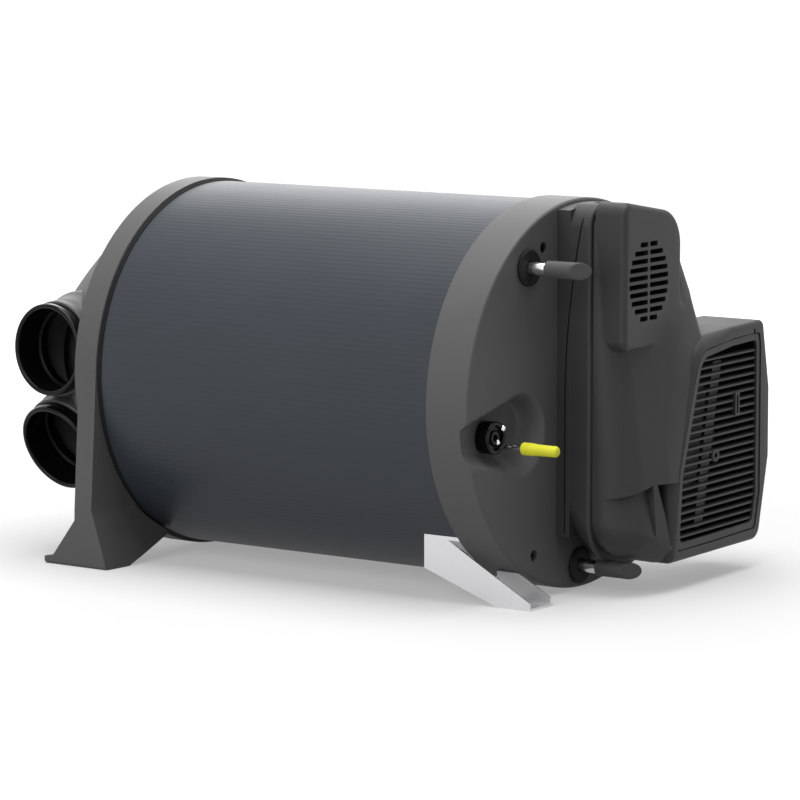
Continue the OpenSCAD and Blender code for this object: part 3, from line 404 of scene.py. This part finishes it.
# End cap: the ring and end face that close the drum's right end, with a scooped recess for the fuel line.
# Grey plastic like the rim, moulded in one piece and held by four sunk screws.
cap_r = jacket_r + 3
cap_w = x_face - x_cap


def on_clock(inset, turn_deg):
    """A place on the end face: inset from the ring's edge, turned from the top towards the rear."""
    return (cap_r - inset) * np.array([math.sin(math.radians(turn_deg)), math.cos(math.radians(turn_deg))])


scoop_at, scoop_end = on_clock(64.5, -106.5), np.array([-cap_r - 6, -25.5])


def scoop(rear, up):
    """Depth of the recess: a tapered capsule from its middle to the ring's edge. Inside its outline the depth
    rises along a smooth step over the width of its wall, which is steeper above than below."""
    run = scoop_end - scoop_at
    share_out = np.clip(((rear - scoop_at[0]) * run[0] + (up - scoop_at[1]) * run[1]) / (run @ run), 0, 1)
    above = up - scoop_at[1] - share_out * run[1]
    off = np.hypot(rear - scoop_at[0] - share_out * run[0], above)
    wall = (14 - 6 * share_out) * (1 - 0.4 * above / np.maximum(off, 1e-6))
    inside = np.clip((32 - 17 * share_out - off) / wall, 0, 1)
    return (17 - 11 * share_out) * inside * inside * (3 - 2 * inside)


face_r = np.concatenate([np.linspace(0, 40, 5)[:-1], np.linspace(40, cap_r - 2.2, 76)])[::-1]
cap_profile = np.concatenate([
    soften([[cap_r - 4, 0], [cap_r, 0], [cap_r, cap_w], [cap_r - 4, cap_w]], [0, 0.5, 2.2, 0], 6)[6:18],
    np.stack([face_r, np.full(len(face_r), cap_w)], 1), [[0, cap_w - 4], [cap_r - 4, cap_w - 4], [cap_r - 4, 0]]])
cap_profile = np.insert(cap_profile, 6, np.stack([np.full(6, cap_r), np.linspace(0.7, cap_w - 3, 6)], 1), 0)
cap_grid = turned(cap_profile, (x_cap, 0, 0), turns=420)
sunk = x_face - scoop(cap_grid[..., 1], cap_grid[..., 2])
wall_rows = len(cap_profile) - 3
cap_grid[:wall_rows, :, 0] = np.minimum(cap_grid[:wall_rows, :, 0], sunk[:wall_rows])
cap_grid[wall_rows:-1, :, 0] -= 19
end_cap = surface("ring_and_face", (cap_grid, True, True), sharp=40)
for inset, clock in ((23.2, -24.4), (16.1, -151.7), (8.1, 51.3), (9, 143.1)):
    hole = turned([[0, -5], [4.4, -5], [4.4, 3], [0, 3]], (x_face, *on_clock(inset, clock)), turns=32)
    carve(end_cap, surface("tool", (hole, False, True)), sharp=40)
dress(end_cap, cap_plastic, "cap_plastic", "end_cap")
finish_nodes(metal("blackened screw", (0.03, 0.03, 0.03), 0.4), "end_cap_screws", "bracket_screws")


# Water connections: hot and cold tubes that leave the end face through grommets and carry push-on caps.
# Bright tube brazed to the tank, black rubber grommets snapped into the face, soft grey caps cut on the slant.
def slanted(at, low, high, r, bore_r, bore_len):
    """A sleeve along x from low to high, with a blind bore, that a plane at 45 degrees cuts off at its free end:
    a point that lies c to the rear of its axis ends at high - r + c."""
    turn_out = np.linspace(0, 2 * math.pi, 64, endpoint=False)[None]
    ring = np.array([0, bore_r, bore_r, r - 0.5, r, r, r - 0.25, r - 0.9, r * 0.5, 0])[:, None]
    rear, up = ring * np.cos(turn_out), ring * np.sin(turn_out)
    cut = high - r + rear - np.array([0, 0, 0, 0, 0, 1.4, 0.4, 0, 0.5, 0.6])[:, None]
    plain = np.array([low + bore_len, low + bore_len, low, low, low + 0.5])[:, None]
    along_x = np.where(np.arange(10)[:, None] < 5, np.concatenate([plain, np.zeros((5, 1))]), cut)
    return np.stack([along_x, at[0] + rear, at[1] + up], -1)


def rod(low, high, r, bore_r, ease=0.5):
    """Profile of a tube along its axis, with eased edges."""
    return soften([[bore_r, low], [r, low], [r, high], [bore_r, high]], ease, 4)


chrome = metal("bright tube", (0.8, 0.8, 0.8), 0.16, (4, 60, 60), 0.006)
grey_soft = moulded("grey cap", (0.075, 0.075, 0.077), 0.42, grain=1.2, depth=0.05)
tube_r, tube_bore_r = 5, 3.75
sleeve_r, sleeve_bore_r, sleeve_bore_len = 6.46, 5.06, 12.5
collar = soften([[5.1, -3.8], [5.1, 2.2], [14, 3], [14, 0], [11, 0], [11, -3.8]],
                [0.3, 1.4, 1.4, 0.4, 0.3, 0.3], 6)
for side, at in (("hot", on_clock(25, -35.5)), ("cold", on_clock(17, 181.3))):
    tube_low, tube_high = (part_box(side + "_water_nipple")[end][0] * 1000 for end in (0, 1))
    cap_low, cap_high = (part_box(side + "_water_cap")[end][0] * 1000 for end in (0, 1))
    grommet = turned(collar, (x_face, *at), turns=64)
    dress(surface(side + "_grommet", (grommet, True, True)), rubber, "black_rubber", side + "_water_grommet")
    tube = turned(rod(tube_low, tube_high, tube_r, tube_bore_r), (0, *at), turns=64)
    dress(surface(side + "_tube", (tube, True, True)), chrome, "chrome_tube", side + "_water_nipple")
    sleeve = slanted(at, cap_low, cap_high, sleeve_r, sleeve_bore_r, sleeve_bore_len)
    dress(surface(side + "_push_cap", (sleeve, False, True)), grey_soft, "grey_cap", side + "_water_cap",
          body=side + "_cap")


# Fuel connection: a black plug with a pair of plated clip screws in the scoop, and the thin fuel tube beside it.
# The plug is moulded and pressed in; the tube is bright steel, with a soft yellow transport cap pushed on.
plug_at, fuel_at = on_clock(34.8, -101.4), on_clock(45.4, -107.1)
plug = soften([[0, -13], [12.4, -13], [12.4, 0.6], [9.4, 0.6], [8.6, -3], [5.6, -3], [5.2, -0.6],
               [2.6, -0.6], [2.4, -4], [0, -4]], [0, 0.5, 1.4, 0.8, 0.6, 0.6, 0.8, 0.4, 0.4, 0], 5)
plug_grid = turned(plug, (x_face, *plug_at), turns=72)
dress(surface("plug_collar", (plug_grid, False, True)), black_gloss, "outlet_plastic", "fuel_plug")
clip_head = soften([[0, -3], [2.3, -3], [2.3, 0.6], [0.9, 1.6], [0, 1.6]], [0, 0.2, 0.7, 0.4, 0], 4)
clips = [(turned(clip_head, (x_face + lift, *(plug_at + off)), (1, -0.35, 0.25), 40), False, True)
         for lift, off in ((0.2, (8.6, 6.8)), (-1.5, (3.4, -3.2)))]
dress(surface("clip_screws", *clips), chrome, "chrome_tube")
pipe_low, pipe_high = (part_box("fuel_pipe")[end][0] * 1000 for end in (0, 1))
pipe_r, pipe_bore_r, pipe_ease = 2.5, 1.5, 0.3
pipe = turned(rod(pipe_low, pipe_high, pipe_r, pipe_bore_r, pipe_ease), (0, *fuel_at), turns=48)
dress(surface("fuel_tube", (pipe, True, True)), chrome, "chrome_tube", "fuel_pipe")
tip_low, tip_high = (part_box("fuel_cap")[end][0] * 1000 for end in (0, 1))
tip_bore_r, tip_r = 2.56, 4.8
tip = soften([[tip_bore_r, tip_low], [tip_r, tip_low], [tip_r, tip_low + 9], [4.3, tip_low + 13],
              [4.1, tip_high], [0, tip_high], [0, tip_low + 14], [tip_bore_r, tip_low + 14]],
             [0.3, 1.6, 3, 3, 2.6, 0, 0, 0.3], 7)
yellow = moulded("yellow cap", (0.86, 0.84, 0.045), 0.5, mottle=0.06, grain=1.5, depth=0.04)
dress(surface("yellow_tip", (turned(tip, (0, *fuel_at), turns=64), False, True)), yellow, "yellow_cap", "fuel_cap",
      body="fuel_line_cap")


# Exhaust and combustion-air stubs: two short necks on the rear flank of the ring.
# The exhaust is drawn stainless tube, the air stub black plastic; hoses are clamped on over their beads.
for node, material, slot in (("exhaust_stub", stainless, "stainless"),
                             ("combustion_air_stub", black_gloss, "outlet_plastic")):
    low, high = (np.array(corner) * 1000 - [0, axis_y, axis_h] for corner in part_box(node))
    r = (high[0] - low[0]) / 2
    neck = soften([[r - 2, low[1]], [r - 1, low[1]], [r - 1, cap_r + 1], [r, cap_r + 1], [r, high[1] - 7],
                   [r - 0.8, high[1] - 5.5], [r, high[1] - 4], [r, high[1]], [r - 2, high[1]]],
                  [0.2, 0.2, 0.4, 0.4, 0.6, 0.6, 0.6, 0.8, 0.5], 5)
    middle = (low + high) / 2
    neck_grid = turned(neck, (middle[0], 0, middle[2]), (0, 1, 0), 72)
    dress(surface(node.replace("_stub", "_neck"), (neck_grid, True, True)), material, slot, node)


# Hood: the moulded cover over the burner fan and control board, with a plinth, a raised block and a round vent.
# Charcoal plastic, injection moulded; it hooks on at the top and is screwed on from below.
def string_round(posts, grow=0.0, steps=240):
    """A string pulled tight round posts of (rear, up, radius): for each direction, the post that reaches
    furthest, and the point on its rim. Gives the points, the directions and the posts."""
    turn_out = np.linspace(0, 2 * math.pi, steps, endpoint=False)
    way_out = np.stack([np.cos(turn_out), np.sin(turn_out)], 1)
    post = np.argmax(way_out @ posts[:, :2].T + posts[:, 2], 1)
    return posts[post, :2] + (posts[post, 2:] + grow) * way_out, way_out, post


def moulding(posts, base, face, edge, base_posts=None, grow=0.0):
    """A cover drawn from its base outline to its end face. Its rows go from the base's middle to its outline,
    up the wall, round the edge by a quarter circle and in to the middle of the face. base and face give a row's
    level, and edge the quarter circle's radius, for all posts or post by post."""
    rim, way_out, post = string_round(posts, grow)
    foot = rim if base_posts is None else string_round(base_posts, grow)[0]
    bend = np.minimum(np.broadcast_to(edge, len(posts)), posts[:, 2] - 0.5)[post]
    middle = np.broadcast_to(foot.mean(0), foot.shape)
    rings, levels = [middle, foot], [base(middle), base(foot)]
    for swing in np.linspace(0, math.pi / 2, 11):
        ring = rim - (bend * (1 - math.cos(swing)))[:, None] * way_out
        rings.append(ring)
        levels.append(face(ring) + grow - bend * (1 - math.sin(swing)))
    middle = ring.mean(0)
    for share_in in (0.85, 0.65, 0.4, 0.2, 0.0):
        rings.append(middle + (ring - middle) * share_in)
        levels.append(face(rings[-1]) + grow)
    return np.concatenate([(x_face + np.array(levels))[..., None], np.array(rings)], -1)


def drawn(flat, low, high, axis=0, ease=0.0):
    """A flat outline drawn along an axis from low to high, its far edge eased, and closed at both ends by fans."""
    flat = np.asarray(flat, float)
    middle = np.broadcast_to(flat.mean(0), flat.shape)
    near = flat + (middle - flat) * (ease / np.linalg.norm(flat - middle, axis=1))[:, None]
    rows = np.array([middle, flat, flat, near, middle])
    return np.insert(rows, axis, np.array([low, low, high - ease, high, high], float)[:, None], axis=2)


def level(distance):
    """A base or face at one distance from the end face."""
    return lambda at: np.full(len(at), float(distance))


tilt = math.tan(math.radians(5.5))
fan_y, fan_z = cap_r - 51, -38.0
hood_front, block_front, block_rear, block_foot = -30.0, -32.5, 58.5, 37.5
hood_foot, lip_foot, plinth_front = 26 - cap_r, 43 - cap_r, -34.0
cover_posts = np.array([[hood_front + 14, cap_r - 20, 14], [block_rear - 28, cap_r - 37, 20],
                        [fan_y - 45, block_foot + 72, 14], [fan_y - 26, block_foot + 32, 18],
                        [fan_y - 20, block_foot - 23.5, 16], [fan_y - 76, hood_foot + 13, 18],
                        [hood_front + 30, hood_foot + 30, 30]])
cover_bend = np.array([13.0, 16, 13, 16, 15, 16, 26])
raised_posts = cover_posts + np.outer(cover_posts[:, 1] < -80, [0, lip_foot - hood_foot, 0])
block_posts = np.array([[block_front + 9, cap_r - 9, 9], [block_rear - 28, cap_r - 36.5, 28],
                        [block_rear - 7, block_foot + 7, 7], [block_front + 8, block_foot + 8, 8]])
# The intake's posts are needed here too, because the cover runs up to its face and is cut out for it
intake_foot, frame_w, intake_front = 20 - cap_r, 9.0, fan_y - 70
intake_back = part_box("intake_housing")[1][1] * 1000 - axis_y
intake_posts = np.array([[intake_front, intake_foot + 8, 8], [fan_y - 52, fan_z - 26, 20],
                         [fan_y - 14, fan_z + 46, 32], [fan_y + 24, 38, 6], [intake_back - 16, 39, 6],
                         [intake_back - 12, -10, 12], [intake_back - 12, -62, 12],
                         [intake_back - 26, intake_foot + 13, 12]])
intake_bend = np.array([7.5, 14, 14, 3.5, 3.5, 3.5, 3.5, 3.5])


def intake_face(at):
    """The intake's face turns a little to the rear."""
    return 67.7 - (at[..., 0] - intake_front) * tilt


def cover_face(at):
    """The lower cover's face leans out to the rear and downwards, up to the intake's face, and back again
    beside the block."""
    rear, up = at[:, 0], at[:, 1]
    beside = np.clip((up - 40) / 30, 0, 1) * np.maximum(rear, 0)
    lean = 53 + 0.16 * np.clip(rear, -40, 40) + 0.095 * (block_foot - up) - 0.12 * beside
    return np.minimum(lean, intake_face(at) - 0.4)


def block_face(at):
    """The block's face turns a little to the rear."""
    return 59.5 - (at[:, 0] + 23) * tilt


def block_root(at):
    """Where the block's wall leaves the cover: level along the top, then further out towards its foot."""
    return np.interp(-at[:, 1], [-80, -45, -38], [33.5, 43, 47])


hood = surface("hood_cover", (moulding(cover_posts, level(0), cover_face, cover_bend, raised_posts), False, True))
carve(hood, surface("tool", (moulding(block_posts, block_root, block_face, 5.0), False, True)), "UNION")
plinth_arc = arc(jacket_r, math.degrees(math.acos(plinth_front / jacket_r)),
                 math.degrees(math.asin(lip_foot / jacket_r)), 80)
plinth = np.concatenate([plinth_arc, [[plinth_front, lip_foot]]])
carve(hood, surface("tool", (drawn(plinth, x_face, x_face + 12, ease=0.2), False, True)), "UNION")
bead_out = np.array([0, 0, 3.9])
bead = moulding(cover_posts + bead_out, level(10), level(30), 2.5, raised_posts + bead_out)
carve(hood, surface("tool", (bead, False, True)), "UNION")


def ended(rows):
    """A closed strip whose first and last cross-sections are drawn in to their middles."""
    rows = np.asarray(rows, float)
    ends = np.broadcast_to(rows.mean(0), rows.shape)
    return np.concatenate([ends[:, :1], rows, ends[:, -1:]], 1)


# Parting line along the plinth's front, which swings out towards the top
line_z = np.linspace(lip_foot + 3, cap_r - 4, 60)
line_x = x_face + 7.6 + 18.4 * np.maximum(line_z / 150, 0) ** 1.9
line = [np.stack([line_x + side, np.full(len(line_z), plinth_front + deep), line_z], 1)
        for side, deep in ((-0.6, -3), (0.6, -3), (0.6, 2), (-0.6, 2))]
carve(hood, surface("tool", (ended(line), True, False)))
# Grip pocket at the front foot, and the tapered groove between it and the intake
pocket_top, pocket_foot, pocket_rear = 79 - cap_r, 35 - cap_r, fan_y - 95
swing = np.radians(np.concatenate([np.linspace(14, 90, 24), [90, 90, 90]]))
corner_r, clear_out = 25.5, 25.0
rear = hood_front + corner_r * (1 - np.cos(swing))
rear[-3:] = np.linspace(rear[-4], pocket_rear, 4)[1:]
along_pocket = (rear - hood_front) / (pocket_rear - hood_front)
pocket_depth = 6.5 * np.clip((swing - swing[0]) / math.radians(35), 0, 1)
ceiling, run_out = pocket_top - 5 + 9 * along_pocket, pocket_foot + 19 - 19 * along_pocket
pocket = []
for up, push in ((ceiling, -pocket_depth), (run_out, 0.05), (run_out, clear_out), (ceiling, clear_out)):
    out = x_face + cover_face(np.stack([rear, up], 1)) - corner_r * (1 - np.sin(swing)) + push * np.sin(swing)
    pocket.append(np.stack([out, rear - push * np.cos(swing), up], 1))
carve(hood, surface("tool", (ended(pocket), True, False)))
top_x = x_face + cover_face(np.array([[hood_front, pocket_top]]))[0]
wedge = drawn([[pocket_rear + 5, pocket_top + 4], [pocket_rear + 35, pocket_top + 3],
               [pocket_rear + 24, pocket_foot], [pocket_rear + 18, pocket_foot]], top_x - 12, top_x + 40)
carve(hood, surface("tool", (wedge, False, True)))
# Vent: ten rows of slots in a round field, parted by a bar
vent_y, vent_z, vent_r, vent_slots = 5.0, (cap_r + block_foot) / 2 - 4.8, 31.0, []
vent_rows, vent_pitch, half_slot, half_bar = 10, 6.2, 1.9, 1.5
for row in range(vent_rows):
    up = (row - (vent_rows - 1) / 2) * vent_pitch
    half = math.sqrt(vent_r ** 2 - up ** 2)
    for start, end in ((-half, -half_bar), (half_bar, half)):
        corners = [[vent_y + start, vent_z + up - half_slot], [vent_y + end, vent_z + up - half_slot],
                   [vent_y + end, vent_z + up + half_slot], [vent_y + start, vent_z + up + half_slot]]
        vent_slots.append((drawn(soften(corners, 1.2, 4), x_face + 34, x_face + 75), False, True))
carve(hood, surface("tool", *vent_slots))
# Room for the intake housing
clearance = moulding(intake_posts, level(-2), intake_face, intake_bend, grow=0.3)
carve(hood, surface("tool", (clearance, False, True)))
hood_plastic = moulded("hood plastic", (0.036, 0.036, 0.037), 0.5, grain=0.8, depth=0.1)
dress(hood, hood_plastic, "hood_plastic", "hood")


# Intake housing: the box at the rear right that leads cabin air to the circulation fan.
# The same charcoal plastic, a thin shell clipped to the hood; its open face is framed for the grille.
def inset_outline(inset, corner=4.0, steps=480):
    """The intake's outline drawn in, with rounded corners. Each direction's side moves in by inset + corner, the
    nearest side along each ray from the middle bounds what is left, and that grows again by corner. The rear
    moves in further."""
    turn_out = np.linspace(0, 2 * math.pi, steps, endpoint=False)
    way_out = np.stack([np.cos(turn_out), np.sin(turn_out)], 1)
    side = (way_out @ intake_posts[:, :2].T + intake_posts[:, 2]).max(1) - inset - corner
    side[0] -= 0.8 * frame_w
    middle = intake_posts[:, :2].mean(0)
    facing = way_out @ way_out.T
    room = np.where(facing > 1e-3, (side - way_out @ middle)[:, None] / np.maximum(facing, 1e-3), np.inf)
    inner_points = middle + room.min(0)[:, None] * way_out
    return inner_points[np.argmax(way_out @ inner_points.T, 1)] + corner * way_out


def on_intake(sheet):
    """Sets a sheet, whose x is its height over the face, onto the intake's turned face."""
    return sheet + np.stack([x_face + intake_face(sheet[..., 1:]), *np.zeros((2,) + sheet.shape[:2])], -1)


intake = surface("intake_shell", (moulding(intake_posts, level(0), intake_face, intake_bend), False, True))
room_posts = intake_posts - [0, 0, 3]
inside = moulding(room_posts, level(2.5), lambda at: intake_face(at) - 3, np.maximum(intake_bend - 3, 1))
carve(intake, surface("tool", (inside, False, True)))
carve(intake, surface("tool", (on_intake(drawn(inset_outline(frame_w), -20, 10)), False, True)))
# Two snap slots in the frame's rear corners
slot_corners = np.array([[-1.3, -3.4], [1.3, -3.4], [1.3, 3.4], [-1.3, 3.4]])
for slot_at in ((157.4, 36.0), (150.5, -110.4)):
    snap_slot = soften(slot_corners + slot_at, 0.8, 4)
    carve(intake, surface("tool", (on_intake(drawn(snap_slot, -2.4, 10)), False, True)))
dress(intake, hood_plastic, "hood_plastic", "intake_housing")


# Intake grille: a framed panel of level slats with a leaning rib behind them and a small latch.
# Charcoal plastic, moulded flat and snapped into the intake's frame.
outer, inner = inset_outline(frame_w + 0.5), inset_outline(frame_w + 6)
toward = (inner - outer) / np.linalg.norm(inner - outer, axis=1)[:, None]
ring_flat = np.array([outer, outer, outer + 0.5 * toward, inner - 0.5 * toward, inner, inner])
ring_height = np.array([-4.0, -1.3, -0.8, -0.8, -1.3, -4.0])[:, None, None]
ring_height = np.broadcast_to(ring_height, ring_flat.shape[:2] + (1,))
sheets = [(on_intake(np.concatenate([ring_height, ring_flat], -1)), True, True)]
# Where each slat's height crosses the ring: the least and the greatest rear place on its sides
slat_pitch = 6.0
slat_z = fan_z + (np.arange(27) - 13) * slat_pitch
slat_z = slat_z[(slat_z > inner[:, 1].min() + 2) & (slat_z < inner[:, 1].max() - 2)]
nxt = np.roll(inner, -1, 0)
rise = np.where(np.abs(nxt[:, 1] - inner[:, 1]) < 1e-6, 1e-6, nxt[:, 1] - inner[:, 1])
share_up = (slat_z[:, None] - inner[None, :, 1]) / rise
cross = np.where((share_up >= 0) & (share_up <= 1), inner[:, 0] + share_up * (nxt[:, 0] - inner[:, 0]), np.nan)
slat_ends = np.nanmin(cross, 1) - 0.6, np.nanmax(cross, 1) + 0.6
slat = soften([[-5.5, 0.1], [-2.0, -1.0], [-2.0, 0.6], [-5.5, 1.7]], 0.35, 3)
for up, start, end in zip(slat_z, *slat_ends):
    sheets.append((on_intake(drawn(slat + [0, up], start, end, axis=1)), False, True))
rib_top, rib_foot = slat_z.max() - 4, slat_z.min() + 2
rib_at, rib_lean, half_rib = 107.9, 0.241, 7
rib = [[rib_at + rib_lean * up + side * half_rib, up]
       for up, side in ((rib_foot, -1), (rib_foot, 1), (rib_top, 1), (rib_top, -1))]
sheets.append((on_intake(drawn(rib, -13, -10)), False, True))
latch_at, latch = np.array([130, -17]), np.array([[-3.5, -9], [3.5, -9], [3.5, 9], [-3.5, 9]])
latch_outer, latch_inner = soften(latch + latch_at, 1.2, 5), soften(latch * [0.4, 0.8] + latch_at, 0.8, 5)
latch_rows = np.array([latch_outer, latch_outer, latch_inner, latch_inner])
latch_height = np.array([-4.0, -0.5, -0.5, -4.0])[:, None, None]
latch_height = np.broadcast_to(latch_height, latch_rows.shape[:2] + (1,))
sheets.append((on_intake(np.concatenate([latch_height, latch_rows], -1)), True, True))
boss_at = np.array([94.9, -53.4])
boss = soften([[2, -4], [5, -4], [5, -0.7], [2, -0.7]], [0.2, 0.2, 0.8, 0.5], 4)
sheets.append((turned(boss, (x_face + float(intake_face(boss_at)), *boss_at), turns=40), True, True))
grille = surface("grille_panel", *sheets)
dress(grille, hood_plastic, "hood_plastic", "intake_grille")


# Brackets: two bent feet under the end cap, screwed to the drum.
# Zinc-plated sheet, laser cut and folded; a slot in each foot takes the floor screw.
zinc = metal("zinc plate", (0.66, 0.66, 0.67), 0.42, (8, 30, 30), 0.01)
for node in ("front_bracket", "rear_bracket"):
    folded = bmesh.new()
    folded.from_mesh(frame["nodes"][node].data)
    bmesh.ops.remove_doubles(folded, verts=folded.verts, dist=1e-5)
    bmesh.ops.dissolve_limit(folded, angle_limit=math.radians(2), verts=folded.verts, edges=folded.edges)
    mesh = bpy.data.meshes.new("folded_" + node)
    folded.to_mesh(mesh)
    folded.free()
    mesh.shade_smooth()
    mesh.set_sharp_from_angle(angle=math.radians(30))
    bracket = bpy.data.objects.new(mesh.name, mesh)
    scene.collection.objects.link(bracket)
    eased = bracket.modifiers.new("eased edges", "BEVEL")
    eased.width, eased.segments, eased.angle_limit = 0.0003, 2, math.radians(34)
    dress(bracket, zinc, "bracket_steel", node)


# Room: a pale floor and a white surround, soft light from above and behind and a little from the front.
# The floor shows the camera a lighter tone than it throws back on the object, and whitens with distance.
floor_size = 30.0
floor_mesh = bpy.data.meshes.new("floor")
floor_mesh.from_pydata([(-floor_size, -floor_size, 0), (floor_size, -floor_size, 0), (floor_size, floor_size, 0),
                        (-floor_size, floor_size, 0)], [], [(0, 1, 2, 3)])
floor = bpy.data.objects.new("floor", floor_mesh)
scene.collection.objects.link(floor)
pale, shader, place = blank("pale floor")
shader.inputs["Roughness"].default_value = 0.9
shader.inputs["Specular IOR Level"].default_value = 0.1


def seen_rays(tree):
    """1 for rays that come straight from the camera, off a mirror or through glass."""
    rays = Wire(tree).node("LightPath").socket.node.outputs
    camera_ray, glossy_ray, clear_ray = (Wire(tree, rays["Is " + kind + " Ray"])
                                         for kind in ("Camera", "Glossy", "Transmission"))
    return camera_ray + glossy_ray + clear_ray


distance = place.node("VectorMath", {"operation": "LENGTH"}, {0: place}, out=1)
far = place.node("MapRange", {"interpolation_type": "SMOOTHSTEP"},
                 {"Value": distance, "From Min": 0.3, "From Max": 1.8, "To Min": 0.31, "To Max": 0.9})
seen = seen_rays(place.tree)
shown_tone, thrown_tone = 0.55, 0.34
tone = seen * (shown_tone - thrown_tone) + thrown_tone
tone.node("CombineColor", None, {0: tone, 1: tone, 2: tone}).feed(shader, "Base Color")
glow = seen * far
glow.node("CombineColor", None, {0: glow, 1: glow, 2: glow}).feed(shader, "Emission Color")
shader.inputs["Emission Strength"].default_value = 1
floor_mesh.materials.append(pale)

world = bpy.data.worlds.new("surround")
scene.world = world
world.use_nodes = True
sky = world.node_tree.nodes["Background"]
sky.inputs["Color"].default_value = (1, 1, 1, 1)
fill = 0.2
(seen_rays(world.node_tree) * (1 - fill) + fill).feed(sky, "Strength")


def lamp(name, at, aim, size, power):
    """A soft square lamp that looks from one point to another."""
    light = bpy.data.lights.new(name, "AREA")
    light.energy, light.size = power, size
    holder = bpy.data.objects.new(name, light)
    holder.location = at
    way = np.array(aim) - np.array(at)
    holder.rotation_euler = (math.acos(-way[2] / np.linalg.norm(way)), 0, math.atan2(way[1], way[0]) - math.pi / 2)
    scene.collection.objects.link(holder)


drum_middle = (0, 0, 0.15)
lamp("overhead", (0.1, 0.0, 2.0), drum_middle, 1.8, 46)
lamp("behind", (-1.6, 1.7, 1.3), drum_middle, 1.4, 14)
lamp("front", (0.1, -2.6, 1.2), drum_middle, 2.0, 28)

lens = bpy.data.cameras.new("camera")
lens.lens, lens.sensor_width = 185.4, 36
camera = bpy.data.objects.new("camera", lens)
camera.location = (1.9617, -2.5816, 0.5375)
camera.rotation_euler = (math.radians(82.82), 0, math.radians(37.0))
scene.collection.objects.link(camera)
scene.camera = camera
scene.view_settings.view_transform = "Standard"
